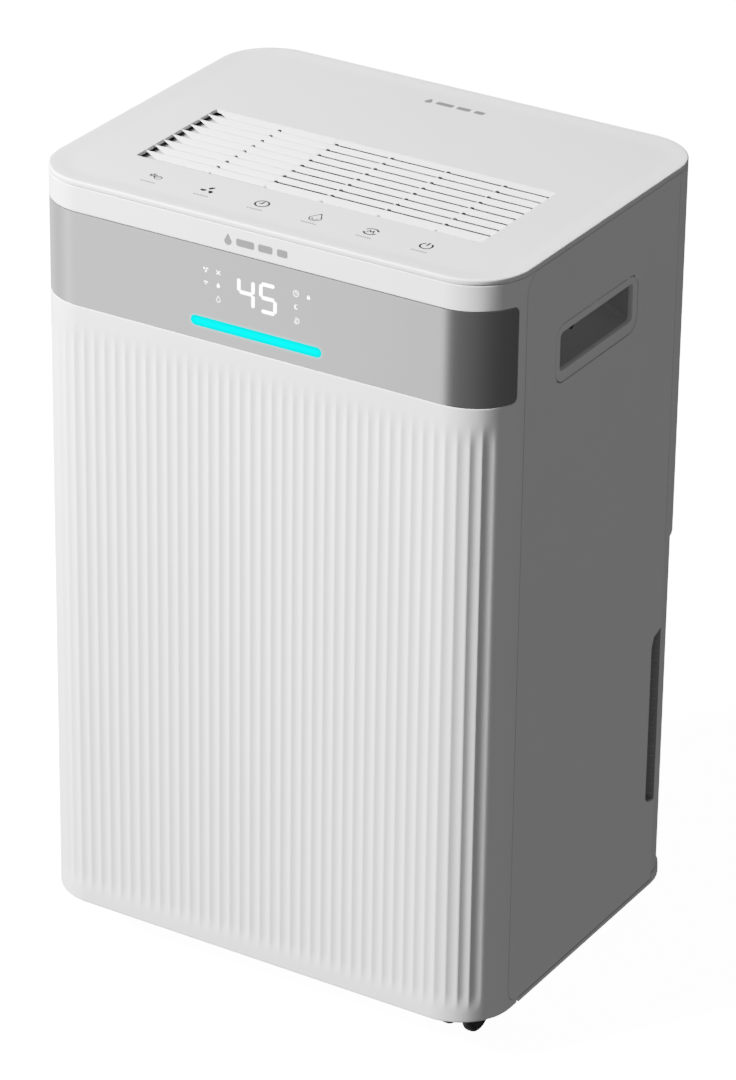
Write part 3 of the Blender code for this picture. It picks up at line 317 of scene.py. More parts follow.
def light_band_film(name):
    """Metallised film with level brushing and the light bar's halo on it."""
    choice = settings()
    surface = Surface(name, metallic=0.9, emission_strength=1.0)
    lines = surface.noise(1, 4, surface.scaled(5, 5, 2600), 0.75)
    cloud = surface.noise(30, 2)
    colour = tuple(choice.band_colour)
    surface.set("Base Color", surface.blend(lines * 0.7 + cloud * 0.3, shaded(colour, 0.94), colour))
    surface.set("Roughness", 0.19 + lines * 0.06)
    surface.bump(lines, 0.004 * MM)
    reach = (bar_distance(surface) - BAR_HALF) / HALO_REACH
    halo = (1.0 - reach).above(0.0).below(1.0) ** HALO_FALL
    glow = shaded(choice.glow_colour, HALO_LEVEL)
    surface.set("Emission Color", surface.blend(halo, (0.0, 0.0, 0.0), glow))
    return surface.material


def glowing(name, colour, strength, rimmed=False):
    """A lit lens: uneven in strength, or deeper in colour towards the light bar's rim."""
    surface = Surface(name, roughness=0.3, emission_strength=strength, specular_ior_level=0.05)
    surface.set("Base Color", shaded(colour, 0.04))
    deep = shaded(colour, 0.6)
    if rimmed:
        reach = bar_distance(surface) / BAR_HALF
        glow = surface.blend((reach * reach).below(1.0), colour, deep)
    else:
        glow = surface.blend(surface.noise(700, 2), deep, colour)
    surface.set("Emission Color", glow)
    return surface.material


def ink(name, colour):
    """Screen-printed ink, matt and a little uneven."""
    surface = Surface(name)
    patch = surface.noise(900, 3)
    surface.set("Base Color", surface.blend(patch, shaded(colour, 0.85), colour))
    surface.set("Roughness", 0.5 + patch * 0.15)
    return surface.material


def fin_stock(name):
    """Closely set aluminium fins over copper tubes, with painted shade between the fins."""
    surface = Surface(f"{name}_fins", metallic=0.9)
    fins = surface.waves("X", 110.0, "SAW", 0.4)
    rows = surface.waves("Z", 8.0)
    # The darker part of each band is painted shade between the fins.
    surface.set("Base Color", surface.blend(fins, (0.26, 0.27, 0.28), (0.74, 0.75, 0.76)))
    surface.set("Roughness", 0.34 + rows * 0.12)
    surface.bump(fins * 0.7 + rows * 0.3, 0.5 * MM)
    return surface.material


def circuit(name):
    """Green solder mask with faint tracks."""
    surface = Surface(name, coat_weight=0.3)
    inputs = {"Vector": surface.coordinates, "Scale": 160.0, "Randomness": 0.4}
    form = {"distance": "MANHATTAN", "feature": "F1"}
    cells = surface.node("ShaderNodeTexVoronoi", form, inputs, "Distance")
    tracks = (cells * 3.0).below(1.0)
    surface.set("Base Color", surface.blend(tracks, (0.10, 0.32, 0.12), (0.012, 0.10, 0.045)))
    surface.set("Roughness", 0.34 + tracks * 0.1)
    surface.bump(tracks, 0.03 * MM)
    return surface.material


def woven(name):
    """Fine black filter mesh."""
    surface = Surface(name)
    threads = surface.waves("X", 190.0).above(surface.waves("Z", 190.0))
    surface.set("Base Color", surface.blend(threads, (0.006, 0.006, 0.007), (0.10, 0.105, 0.11)))
    surface.set("Roughness", 0.75 + threads * 0.15)
    surface.bump(threads, 0.15 * MM)
    return surface.material


def finishes():
    """Each finish's maker, and what the maker takes after the name."""
    choice = settings()
    plastic = tuple(choice.plastic_colour)
    white = (1.0, 1.0, 1.0)
    return {
        "white_plastic": (moulded, plastic, 0.54),
        # painted shade: the covers' white darkened to 0.84, holding down the brightly lit blades
        "grille_white": (moulded, shaded(plastic, 0.84), 0.45),
        "tank_plastic": (moulded, plastic, 0.5),
        # painted shade: the risers' grey stands for the shade in the thin lines between the blind bays'
        # blades
        "riser_grey": (moulded, (0.56, 0.56, 0.56), 0.6),
        # painted shade: the well's grey stands for the shade under the outlet blades
        "well_grey": (moulded, (0.48, 0.48, 0.485), 0.6),
        # painted shade: a mid grey that stands for the shade inside the handle pockets and the tank's finger
        # slots
        "grip_shade": (moulded, (0.46, 0.46, 0.46), 0.5),
        "grey_plastic": (moulded, (0.20, 0.20, 0.21), 0.5),
        "shadow_grey": (moulded, (0.045, 0.045, 0.047), 0.6),
        "wheel_plastic": (moulded, (0.02, 0.02, 0.021), 0.36),
        "black_plastic": (moulded, (0.016, 0.016, 0.017), 0.42),
        "rubber": (moulded, (0.02, 0.02, 0.02), 0.75, 0.05 * MM),
        "enamelled_steel": (moulded, (0.022, 0.022, 0.026), 0.28, FINE_GRAIN, 0.4),
        "galvanised_steel": (brushed, (0.56, 0.57, 0.59), 0.42, (40, 40, 40)),
        "axle_steel": (brushed, (0.60, 0.60, 0.61), 0.3, (900, 40, 40)),
        "copper": (brushed, (0.80, 0.42, 0.25), 0.28, (60, 60, 60)),
        "light_cyan": (glowing, tuple(choice.glow_colour), 2.5, True),
        "digit_glow": (glowing, white, 3.2),
        "dim_glow": (glowing, white, 2.3),
        "printed_ink": (ink, tuple(choice.ink_colour)),
        "badge_grey": (ink, (0.25, 0.25, 0.255)),
        "silver_film": (light_band_film,),
        "aluminium": (fin_stock,),
        "circuit_board": (circuit,),
        "filter_cloth": (woven,),
    }


made_finishes = {}


def finish_of(name):
    """A finish's material, made when it's first asked for."""
    if name not in made_finishes:
        maker, *given = finishes()[name]
        made_finishes[name] = maker(name, *given)
    return made_finishes[name]


# ---- Mesh helpers -------------------------------------------------------------------------


def linked(name, data):
    """A new object in the scene."""
    made = bpy.data.objects.new(name, data)
    bpy.context.scene.collection.objects.link(made)
    return made


def meshed(work, name):
    """The mesh of some finished work, which is freed."""
    mesh = bpy.data.meshes.new(name)
    work.to_mesh(mesh)
    work.free()
    return mesh


def tidy_mesh(mesh, reach=1e-6):
    """The mesh with points closer than the reach joined and its faces turned outwards."""
    work = bmesh.new()
    work.from_mesh(mesh)
    bmesh.ops.remove_doubles(work, verts=work.verts, dist=reach)
    bmesh.ops.recalc_face_normals(work, faces=work.faces)
    work.to_mesh(mesh)
    work.free()
    return mesh


SHARP_ANGLE = 32


def piece(name, mesh, finish, body="casing", replaces=(), slot=None, angle=SHARP_ANGLE):
    """A finished piece on its body, in place of the frame's own nodes."""
    mesh.name = name
    mesh.shade_smooth()
    mesh.set_sharp_from_angle(angle=radians(angle))
    mesh.materials.clear()
    mesh.materials.append(finish_of(finish))
    made = linked(name, mesh)
    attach(made, body)
    slot or (finish if finish in KNOWN_SLOTS else "white_plastic")
    if replaces:
        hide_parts(*replaces)
    return made


def merged(meshes):
    """Several meshes in one."""
    work = bmesh.new()
    for mesh in meshes:
        work.from_mesh(mesh)
    return meshed(work, "merged")


AXES = {
    "X": Matrix(((0, 0, 1, 0), (1, 0, 0, 0), (0, 1, 0, 0), (0, 0, 0, 1))),
    "Y": Matrix(((1, 0, 0, 0), (0, 0, 1, 0), (0, 1, 0, 0), (0, 0, 0, 1))),
    "Z": Matrix.Identity(4),
}


def outlined(outlines, fill_mode, half=0.0, edge=0.0):
    """The mesh of filled outlines with holes, extruded by a half thickness, with rounded edges."""
    curve = bpy.data.curves.new("outline", "CURVE")
    curve.dimensions = "2D"
    curve.fill_mode = fill_mode
    curve.extrude = half
    curve.bevel_depth = edge
    curve.bevel_resolution = 2
    curve.offset = -edge
    for outline in outlines:
        spline = curve.splines.new("POLY")
        spline.points.add(len(outline) - 1)
        for point, (u, v) in zip(spline.points, outline):
            point.co = (u, v, 0, 1)
        spline.use_cyclic_u = True
    holder = linked("outline", curve)
    graph = bpy.context.evaluated_depsgraph_get()
    mesh = bpy.data.meshes.new_from_object(holder.evaluated_get(graph))
    bpy.data.objects.remove(holder, do_unlink=True)
    return mesh


def plate(outlines, low, high, axis="Z", edge=0.0):
    """Flat outlines with holes, extruded along an axis, with edges rounded by that radius."""
    mesh = outlined(outlines, "BOTH", (high - low) / 2 - edge, edge)
    mesh.transform(AXES[axis] @ Matrix.Translation((0, 0, (low + high) / 2)))
    return tidy_mesh(mesh)


def flat_sheet(outlines, level):
    """A level surface between outlines, without thickness."""
    mesh = outlined(outlines, "FRONT")
    mesh.transform(Matrix.Translation((0, 0, level)))
    return mesh


def block(low, high, edge=0.0):
    """A box between two corners with rounded edges."""
    work = bmesh.new()
    bmesh.ops.create_cube(work, size=1)
    size = Vector(high) - Vector(low)
    bmesh.ops.scale(work, vec=size, verts=work.verts)
    bmesh.ops.translate(work, vec=(Vector(high) + Vector(low)) / 2, verts=work.verts)
    if edge:
        bmesh.ops.bevel(work, geom=work.edges, offset=edge, segments=3, profile=0.5, affect="EDGES")
    return meshed(work, "block")


def skin(rings, caps=(False, False)):
    """Faces between successive rings of the same number of points, with or without end caps."""
    work = bmesh.new()
    rows = [[work.verts.new(point) for point in ring] for ring in rings]
    count = len(rings[0])
    for first, second in zip(rows, rows[1:]):
        for at in range(count):
            after = (at + 1) % count
            work.faces.new((first[at], first[after], second[after], second[at]))
    for row, wanted in zip((rows[0], rows[-1]), caps):
        if wanted:
            work.faces.new(row)
    return tidy_mesh(meshed(work, "skin"))


def turned(profile, steps):
    """A closed profile of (radius, height) turned about the Z axis."""
    rings = []
    for step in range(steps):
        turn = 2 * pi * step / steps
        rings.append([(r * cos(turn), r * sin(turn), h) for r, h in profile])
    rings.append(rings[0])
    return tidy_mesh(skin(rings), 1e-5)


def polar(centre, radius, turn):
    """The point at a radius and a turn about a centre."""
    return centre[0] + radius * cos(turn), centre[1] + radius * sin(turn)


def rounded(u_low, u_high, v_low, v_high, radius, steps=10):
    """A rectangle's outline with rounded corners."""
    corners = ((u_low, v_low, 1, 1), (u_high, v_low, -1, 1), (u_high, v_high, -1, -1), (u_low, v_high, 1, -1))
    outline = []
    for quarter, (u, v, du, dv) in enumerate(corners):
        for step in range(steps + 1):
            turn = pi + quarter * pi / 2 + step * pi / 2 / steps
            outline.append(polar((u + du * radius, v + dv * radius), radius, turn))
    return outline


def refined(node, finish, edge):
    """The frame's own shape with its edges rounded by that width, in a finish."""
    body = body_of(frame["nodes"][node])[0]
    mesh = frame["nodes"][node].data.copy()
    work = bmesh.new()
    work.from_mesh(mesh)
    bmesh.ops.remove_doubles(work, verts=work.verts, dist=2e-5)
    bmesh.ops.dissolve_limit(work, angle_limit=radians(1.0), verts=work.verts, edges=work.edges)
    sharp = [e for e in work.edges if len(e.link_faces) == 2 and e.calc_face_angle(0) > radians(SHARP_ANGLE)]
    if edge and sharp:
        bmesh.ops.bevel(
            work, geom=sharp, offset=edge, segments=2, profile=0.6, affect="EDGES", clamp_overlap=True
        )
    bmesh.ops.recalc_face_normals(work, faces=work.faces)
    work.to_mesh(mesh)
    work.free()
    made = piece(f"{node}_finished", mesh, finish, body, (node,), SLOT_OF[node])
    level = made.modifiers.new("Even", "WEIGHTED_NORMAL")
    level.keep_sharp = True
    return made


# ---- The body's own surface ---------------------------------------------------------------

ARC = CORNER * pi / 2


def on_body(along, out=0.0):
    """(x, y) on the body's front outline at a distance along it from the front's middle."""
    side = 1 if along >= 0 else -1
    run = abs(along)
    if run <= FLAT_X:
        return side * run, -HALF_Y - out
    if run <= FLAT_X + ARC:
        turn = (run - FLAT_X) / CORNER
        return side * (FLAT_X + (CORNER + out) * sin(turn)), -FLAT_Y - (CORNER + out) * cos(turn)
    return side * (HALF_X + out), -FLAT_Y + run - FLAT_X - ARC


def along_to(y):
    """The distance along the outline at which its side reaches y."""
    return FLAT_X + ARC + y + FLAT_Y


def ease(value):
    """A smooth step from 0 to 1."""
    value = min(1.0, max(0.0, value))
    return value * value * (3 - 2 * value)


def fillet_drop(distance, radius):
    """How far a rounded edge has fallen at a distance inside its outline."""
    if distance >= radius:
        return 0.0
    reach = 1 - max(distance, 0.0) / radius
    return radius * (1 - sqrt(max(0.0, 1 - reach * reach)))


def box_distance(u, v, u_half, v_low, v_high, radius):
    """Signed distance from a rounded rectangle centred on u = 0: negative inside."""
    du = abs(u) - (u_half - radius)
    dv = abs(v - (v_low + v_high) / 2) - ((v_high - v_low) / 2 - radius)
    return hypot(max(du, 0), max(dv, 0)) + min(max(du, dv), 0) - radius


def spread(low, high, count):
    """Both ends and what divides the way between them into equal parts."""
    return [low + (high - low) * step / count for step in range(count + 1)]


def wrapped(rows, half_at, columns, out_at, thickness):
    """A closed sheet round the body's front. Each row has its own half length and the same columns.

    rows are heights, half_at gives a row's half length, columns gives its places along the outline,
    out_at gives how far a point stands out, and thickness is the sheet's depth.
    """
    outer, inner = [], []
    for z in rows:
        line = columns(half_at(z), z)
        outer.append([(*on_body(along, out_at(along, z)), z) for along in line])
        inner.append([(*on_body(along, -thickness), z) for along in line])
    work = bmesh.new()
    sheets = [[[work.verts.new(point) for point in row] for row in side] for side in (outer, inner)]
    count = len(outer[0])
    for sheet in sheets:
        for first, second in zip(sheet, sheet[1:]):
            for at in range(count - 1):
                work.faces.new((first[at], first[at + 1], second[at + 1], second[at]))
    front, back = sheets
    for row in (0, -1):
        for at in range(count - 1):
            work.faces.new((front[row][at], front[row][at + 1], back[row][at + 1], back[row][at]))
    for at in (0, -1):
        for row in range(len(rows) - 1):
            work.faces.new((front[row][at], front[row + 1][at], back[row + 1][at], back[row][at]))
    bmesh.ops.recalc_face_normals(work, faces=work.faces)
    return meshed(work, "wrapped")


# ---- Front shell and band -----------------------------------------------------------------

BAND_CENTRE = (BAND_LOW + BAND_HIGH) / 2
BAND_HALF = along_to(BAND_END_Y)
BAND_CORNER = 4.5 * MM
BAND_GAP = 0.25 * MM
BAND_INSET = 0.2 * MM
RECESS = 1.7 * MM
LIP = 0.8 * MM
SHELL_INSET = 0.06 * MM
FLUTE_END = 21.5
FADE_TOP = (BAND_LOW - 9 * MM, BAND_LOW - 34 * MM)
FADE_FOOT = (LOW + 8 * MM, LOW + 24 * MM)
SIDE_SEAM_Y = -109.2 * MM
SIDE_TOP_CORNER, SIDE_FOOT_CORNER = 15 * MM, 13 * MM
EDGE_ROUND, FOOT_ROUND = 0.5 * MM, 1.0 * MM


def shell_edge_y(z):
    """Where the shell's side ends, following the side panel's rounded corners."""
    top = fillet_drop(PANEL_HIGH.z - z, SIDE_TOP_CORNER)
    foot = fillet_drop(z - PANEL_LOW.z, SIDE_FOOT_CORNER)
    return SIDE_SEAM_Y + top + foot - 0.2 * MM


def flute_depth(along, z):
    """The depth of a flute's hollow, which fades out towards the band and the foot."""
    choice = settings()
    place = along / choice.flute_pitch
    if abs(place) > FLUTE_END:
        return 0.0
    offset = 2 * (place - round(place))
    below_band = ease((FADE_TOP[0] - z) / (FADE_TOP[0] - FADE_TOP[1]))
    above_foot = ease((z - FADE_FOOT[0]) / (FADE_FOOT[1] - FADE_FOOT[0]))
    soft = 0.94 + 0.06 * cos(pi * offset)
    return choice.flute_depth * below_band * above_foot * (1 - offset * offset) * soft


def shell_out(along, z):
    """How far the shell's surface stands from the plain outline: never outside it."""
    out = -SHELL_INSET - flute_depth(along, z)
    reach = box_distance(along, z, BAND_HALF, BAND_LOW, BAND_HIGH, BAND_CORNER) - BAND_GAP
    if reach <= 0:
        return -RECESS
    out -= fillet_drop(reach, LIP)
    out -= fillet_drop(SHELL_TOP - z, EDGE_ROUND)
    out -= fillet_drop(z - LOW, FOOT_ROUND)
    out -= fillet_drop(along_to(shell_edge_y(z)) - abs(along), EDGE_ROUND)
    return out


def shell_rows():
    """The shell's heights, close together where its surface turns."""
    rows = [LOW, LOW + 0.25 * MM, LOW + 0.6 * MM, LOW + 1.2 * MM]
    rows += spread(LOW + 2.4 * MM, FADE_FOOT[1] + 2 * MM, 18)
    rows += spread(FADE_FOOT[1] + 8 * MM, FADE_TOP[1] - 8 * MM, 14)
    rows += spread(FADE_TOP[1] - 2 * MM, BAND_LOW - 8 * MM, 16)
    for edge, way in ((BAND_LOW, -1), (BAND_HIGH, 1)):
        around = [6.5, 5, 3.5, 2.4, 1.7, 1.25, 1.05, 0.9, 0.75, 0.6, 0.48, 0.38, 0.3, 0.25, 0.249]
        rows += [edge + way * step * MM for step in around]
        rows += [edge - way * step * MM for step in (0.3, 0.8, 1.4, 2.1, 2.9, 3.7, 4.6)]
    rows += spread(BAND_LOW + 10 * MM, BAND_HIGH - 10 * MM, 4)
    rows += spread(BAND_HIGH + 8.5 * MM, SHELL_TOP - 2 * MM, 4)
    rows += [SHELL_TOP - step * MM for step in (1.2, 0.7, 0.4, 0.2, 0.08, 0.0)]
    return sorted(set(round(row, 7) for row in rows))


def shell_columns(half, z):
    """Places along a row of the shell: ten to a flute, and close together at the band's end."""
    pitch = settings().flute_pitch
    line = []
    for flute in range(-21, 22):
        line += [(flute + step / 10 - 0.5) * pitch for step in range(10)]
    end = FLUTE_END * pitch
    line.append(end)
    beyond = [end + 1.8 * MM, end + 3.4 * MM]
    near = [BAND_HALF - 5.2 * MM + step * 0.4 * MM for step in range(13)]
    near += [BAND_HALF + step * MM for step in (0.2, 0.249, 0.25, 0.3, 0.38, 0.48, 0.6, 0.75, 0.9, 1.05, 1.3)]
    beyond += [along for along in near if along > end + 3.6 * MM]
    last = BAND_HALF + 1.5 * MM
    beyond += [last + (half - last) * step for step in (0.0, 0.3, 0.6, 0.8, 0.9, 0.95, 0.98, 1.0)]
    return [-along for along in beyond[::-1]] + line + beyond


def band_columns(half, z):
    """Places along a row of the band, close together at its ends."""
    flat = spread(-half, half, 150)
    rim = [half - step * MM for step in (0.4, 0.25, 0.12, 0.04)]
    return sorted([-along for along in rim] + flat + rim)


def band_half(z):
    """Half the band's length at a height, shorter at its rounded corners."""
    return BAND_HALF - fillet_drop((BAND_HIGH - BAND_LOW) / 2 - abs(z - BAND_CENTRE), BAND_CORNER)


def band_out(along, z):
    """How far the band's surface stands from the plain outline."""
    reach = -box_distance(along, z, BAND_HALF, BAND_LOW, BAND_HIGH, BAND_CORNER)
    return -BAND_INSET - fillet_drop(reach, 0.1 * MM)


def band_rows():
    """The band's heights, close together at its edges."""
    rows = []
    for edge, way in ((BAND_LOW, 1), (BAND_HIGH, -1)):
        rows += [edge + way * step * MM for step in (0, 0.04, 0.12, 0.25, 0.4, 0.8, 1.3, 1.9, 2.6, 3.4, 4.5)]
    return sorted(rows + spread(BAND_LOW + 8 * MM, BAND_HIGH - 8 * MM, 8))


class DEHUMIDIFIER_OT_front_shell(bpy.types.Operator):
    """The fluted front with its recess for the band"""

    bl_idname = "dehumidifier.front_shell"
    bl_label = "Front Shell"

    def execute(self, context):
        mesh = wrapped(shell_rows(), lambda z: along_to(shell_edge_y(z)), shell_columns, shell_out, WALL)
        piece("front_shell", mesh, "white_plastic", "casing", ["front_panel"], angle=40)
        return {"FINISHED"}


# ---- Display ------------------------------------------------------------------------------

# Signs and digits are drawn in millimetres. A digit's box is its low edge, width, height and stroke.
ORIGIN = (0.0, 0.0)
DIGIT_LEFTS = (-13.8, 4.2)
DIGIT_BOX = (563.0, 11.6, 20.4, 2.9)
BAND_SIGN_SCALE = 1.22
FRONT_BADGE_HEIGHT, LID_BADGE_HEIGHT = 7.8, 7.5


def capsule(start, end, width, steps=8):
    """A bar with round ends between two points."""
    turn = atan2(end[1] - start[1], end[0] - start[0])
    outline = []
    for centre, from_turn in ((end, turn - pi / 2), (start, turn + pi / 2)):
        outline += [polar(centre, width / 2, from_turn + pi * step / steps) for step in range(steps + 1)]
    return [outline]


def ring(centre, radius, width, from_turn=0, to_turn=360, steps=28):
    """A circle, or an arc between two turns in degrees, as a stroke."""
    whole = to_turn - from_turn == 360
    turns = [radians(from_turn + (to_turn - from_turn) * step / steps) for step in range(steps + (not whole))]
    outer, inner = ([polar(centre, radius + way * width / 2, turn) for turn in turns] for way in (1, -1))
    return [outer, inner] if whole else [outer + inner[::-1]]


def droplet(centre, size, width=None):
    """A water drop, solid or as a stroke."""

    def outline(reach):
        points = []
        for step in range(24):
            turn = 2 * pi * step / 24
            rise = max(0.0, sin(turn))
            u = centre[0] + reach * cos(turn) * (1 - 0.25 * rise)
            points.append((u, centre[1] + reach * sin(turn) + rise**6 * reach * 0.75))
        return points

    return [outline(size / 2)] if width is None else [outline(size / 2), outline(size / 2 - width)]


def petals(centre, radius, count, turn=0.0):
    """Blades of a fan."""
    found = []
    for blade in range(count):
        angle = turn + 2 * pi * blade / count
        way, side = (cos(angle), sin(angle)), (-sin(angle), cos(angle))
        outline = []
        for step in range(18):
            now = 2 * pi * step / 18
            u = radius * (0.58 + 0.42 * cos(now))
            v = radius * 0.27 * sin(now) + 0.16 * radius * sin(pi * u / radius)
            outline.append((centre[0] + way[0] * u + side[0] * v, centre[1] + way[1] * u + side[1] * v))
        found.append([outline])
    return found


def moon(radius):
    """A crescent: an outer arc, and an inner one back to its start."""
    outline = []
    for start, sweep, reach, u, v in ((-110, 230, radius, 0.0, 0.0), (120, -230, radius * 0.78, 0.38, 0.1)):
        for step in range(15):
            turn = radians(start + sweep * step / 14)
            outline.append((radius * u - reach * cos(turn), radius * v + reach * sin(turn)))
    return [outline]


DIGIT_SEGMENTS = {
    0: "abcdef", 1: "bc", 2: "abged", 3: "abgcd", 4: "fgbc", 5: "afgcd", 6: "afgedc", 7: "abc", 8: "abcdefg",
    9: "abcdfg",
}


def digit(value, left, low, width, height, stroke):
    """The lit bars of a seven-bar digit."""
    right, top, middle = left + width, low + height, low + height / 2
    gap = stroke * 0.66
    corners = {
        "a": ((left + gap, top), (right - gap, top)),
        "b": ((right, middle + gap), (right, top - gap)),
        "c": ((right, low + gap), (right, middle - gap)),
        "d": ((left + gap, low), (right - gap, low)),
        "e": ((left, low + gap), (left, middle - gap)),
        "f": ((left, middle + gap), (left, top - gap)),
        "g": ((left + gap, middle), (right - gap, middle)),
    }
    return [capsule(*corners[name], stroke) for name in DIGIT_SEGMENTS[value]]


def on_front(name, shapes, finish, proud=0.1 * MM, **options):
    """Flat shapes given in (x, z), set into the band's or the shell's front face."""
    back = -(HALF_Y - BAND_INSET) + 0.35 * MM
    face = -(HALF_Y - BAND_INSET) - proud
    mesh = merged([plate(shape, face, back, "Y") for shape in shapes])
    return piece(name, mesh, finish, "casing", **options)


def placed(shapes, middle, scale=1.0):
    """Shapes drawn in millimetres about their middle, at a place in the frame and a scale."""
    u, v = middle
    grow = scale * MM
    return [[[(u + x * grow, v + y * grow) for x, y in outline] for outline in shape] for shape in shapes]


def band_signs(wanted):
    """The band's lit or dim signs: fan, cross, signal, drops, clock, lock, moon and haze."""
    stroke, thin = 0.62, 0.55
    signal = [ring((0, -1.0), radius, width, 45, 135, 8) for radius, width in ((1.9, stroke), (0.5, 0.9))]
    clock = [ring(ORIGIN, 1.75, stroke), capsule(ORIGIN, (0, 1.05), thin), capsule(ORIGIN, (0.8, 0), thin)]
    lock = [[rounded(-1.0, 1.0, -1.3, 0.3, 0.25, 3)], ring((0, 0.3), 0.65, 0.32, 0, 180, 10)]
    haze = [ring(ORIGIN, 1.75, stroke, -150, 120, 20), ring(ORIGIN, 0.8, stroke, 30, 300, 16)]
    signs = (
        ("lit", -41.0, 583.4, petals(ORIGIN, 1.9, 3, 0.4)),
        ("lit", -30.7, 583.2, [capsule((-1.1, -way), (1.1, way), thin) for way in (1.1, -1.1)]),
        ("lit", -41.0, 573.2, signal),
        ("lit", -30.7, 573.1, [droplet(ORIGIN, 2.3)]),
        ("dim", -30.7, 562.6, [droplet(ORIGIN, 3.2, 0.6)]),
        ("dim", 32.7, 582.9, clock),
        ("lit", 42.8, 582.6, lock),
        ("lit", 33.1, 572.9, [moon(1.5)]),
        ("dim", 33.2, 562.6, haze),
    )
    found = []
    for state, x, z, shapes in signs:
        if state == wanted:
            found += placed(shapes, (x * MM, z * MM), BAND_SIGN_SCALE)
    return found


class DEHUMIDIFIER_OT_display(bpy.types.Operator):
    """The metallic band with its light bar, number and signs"""

    bl_idname = "dehumidifier.display"
    bl_label = "Display"

    def execute(self, context):
        band = wrapped(band_rows(), band_half, band_columns, band_out, 1.5 * MM)
        piece("silver_band", band, "silver_film", "casing", ["display_band"], angle=40)
        bar = rounded(BAR_LOW.x, BAR_HIGH.x, BAR_LEVEL - BAR_HALF, BAR_LEVEL + BAR_HALF, BAR_HALF, 12)
        on_front("light_bar", [[bar]], "light_cyan", 0.14 * MM, replaces=["light_bar_lens"])
        digits = []
        for value, left in zip(divmod(settings().humidity, 10), DIGIT_LEFTS):
            digits += digit(value, left, *DIGIT_BOX)
        on_front("humidity_digits", placed(digits, ORIGIN), "digit_glow", slot="light_cyan")
        on_front("lit_signs", band_signs("lit"), "digit_glow", slot="light_cyan")
        on_front("dim_signs", band_signs("dim"), "dim_glow", slot="light_cyan")
        return {"FINISHED"}


class DEHUMIDIFIER_OT_badges(bpy.types.Operator):
    """Plain marks on the shell's rim and the lid: a drop and level bars"""

    bl_idname = "dehumidifier.badges"
    bl_label = "Badges"

    def execute(self, context):
        shapes = placed(badge_shapes(), (0.0, 609.9 * MM), FRONT_BADGE_HEIGHT)
        mesh = merged([plate(shape, -HALF_Y, -HALF_Y + 0.3 * MM, "Y") for shape in shapes])
        piece("front_badge", mesh, "badge_grey", "casing", slot="silver_film")
        shapes = placed(badge_shapes(), (1.0 * MM, 116.0 * MM), LID_BADGE_HEIGHT)
        on_lid("lid_badge", shapes, "badge_grey", 0.06 * MM, slot="silver_film")
        return {"FINISHED"}


def badge_shapes():
    """A drop with three rounded bars beside it, one high and about seven wide."""
    shapes = [droplet((-2.9, -0.1), 0.8)]
    for place, length in ((-1.1, 1.9), (1.0, 1.5), (2.75, 1.1)):
        shapes.append([rounded(place - length / 2, place + length / 2, -0.36, 0.36, 0.2, 6)])
    return shapes


def on_lid(name, shapes, finish, proud, **options):
    """Flat shapes given in (x, y), printed on the lid's level part."""
    level = lid_height(60 * MM)
    mesh = merged([plate(shape, level - 0.2 * MM, level + proud) for shape in shapes])
    return piece(name, mesh, finish, "casing", **options)


# ---- Lid and outlet grille ----------------------------------------------------------------

LID_FILLET = 1.3 * MM
LID_FLAT_INSET = 22 * MM
MOUTH_GAP = 0.3 * MM


def body_ring(inset, z):
    """The body's whole outline at a height, moved inwards."""
    x, y = HALF_X - inset, HALF_Y - inset
    return [(*point, z) for point in rounded(-x, x, -y, y, CORNER - inset, 20)]


def lid_height(inset):
    """The lid's height at a distance in from its edge: a fillet, then a shallow dish."""
    if inset < LID_FILLET:
        return TOP - 0.05 * MM - fillet_drop(inset, LID_FILLET)
    return TOP - 0.05 * MM - DISH * ease((inset - LID_FILLET) / (LID_FLAT_INSET - LID_FILLET - 4 * MM))


def mouth_outline(grow):
    """The grille's opening, grown outwards."""
    low, high = GRILLE_LOW, GRILLE_HIGH
    return rounded(low.x - grow, high.x + grow, low.y - grow, high.y + grow, 1.5 * MM + grow, 4)


class DEHUMIDIFIER_OT_lid(bpy.types.Operator):
    """The dished lid with its opening for the grille"""

    bl_idname = "dehumidifier.lid"
    bl_label = "Lid"

    def execute(self, context):
        base, skirt, level = LID_LINE, 612.4 * MM, lid_height(LID_FLAT_INSET)
        rings = [body_ring(4.2 * MM, skirt), body_ring(4.2 * MM, base), body_ring(0.5 * MM, base)]
        rings += [body_ring(0.15 * MM, base + 0.12 * MM), body_ring(0.0, base + 0.4 * MM)]
        insets = [LID_FILLET * (1 - cos(pi / 2 * step / 8)) for step in range(9)]
        insets += [step * MM for step in (2.9, 3.6, 4.6, 5.8, 7.2, 9, 11, 13, 15.5, 18)]
        insets.append(LID_FLAT_INSET)
        rings += [body_ring(inset, lid_height(inset)) for inset in insets]
        inner = [(x, y) for x, y, _ in rings[-1]]
        rim = [(x, y) for x, y, _ in body_ring(6.7 * MM, 0)]
        mouth = mouth_outline(MOUTH_GAP)
        under_level = level - 2.6 * MM
        sheets = [flat_sheet([inner, mouth], level), flat_sheet([rim, mouth], under_level)]
        wall = skin([[(x, y, z) for x, y in mouth] for z in (level, under_level)])
        side = skin([[(x, y, z) for x, y in rim] for z in (under_level, skirt)] + [rings[0]])
        mesh = tidy_mesh(merged([skin(rings), *sheets, wall, side]), 2e-6)
        piece("lid", mesh, "white_plastic", "casing", ["top_cover"], angle=35)
        return {"FINISHED"}


BLADES = 9
PITCH = 11.45 * MM
SLOPE = 0.80
BLIND_REACH = 4.15 * MM
OPEN_REACH = 3.6 * MM
LAST_REACH = 9.0 * MM
END_SLANT = 3.4
RIB_WIDTH = 1.7 * MM
RIBS = [(place * 46.3 + 8.3) * MM for place in (-2, -1, 0, 1, 2)]
BLIND_TO = RIBS[1]
GRILLE_TOP = GRILLE_HIGH.z - 0.45 * MM


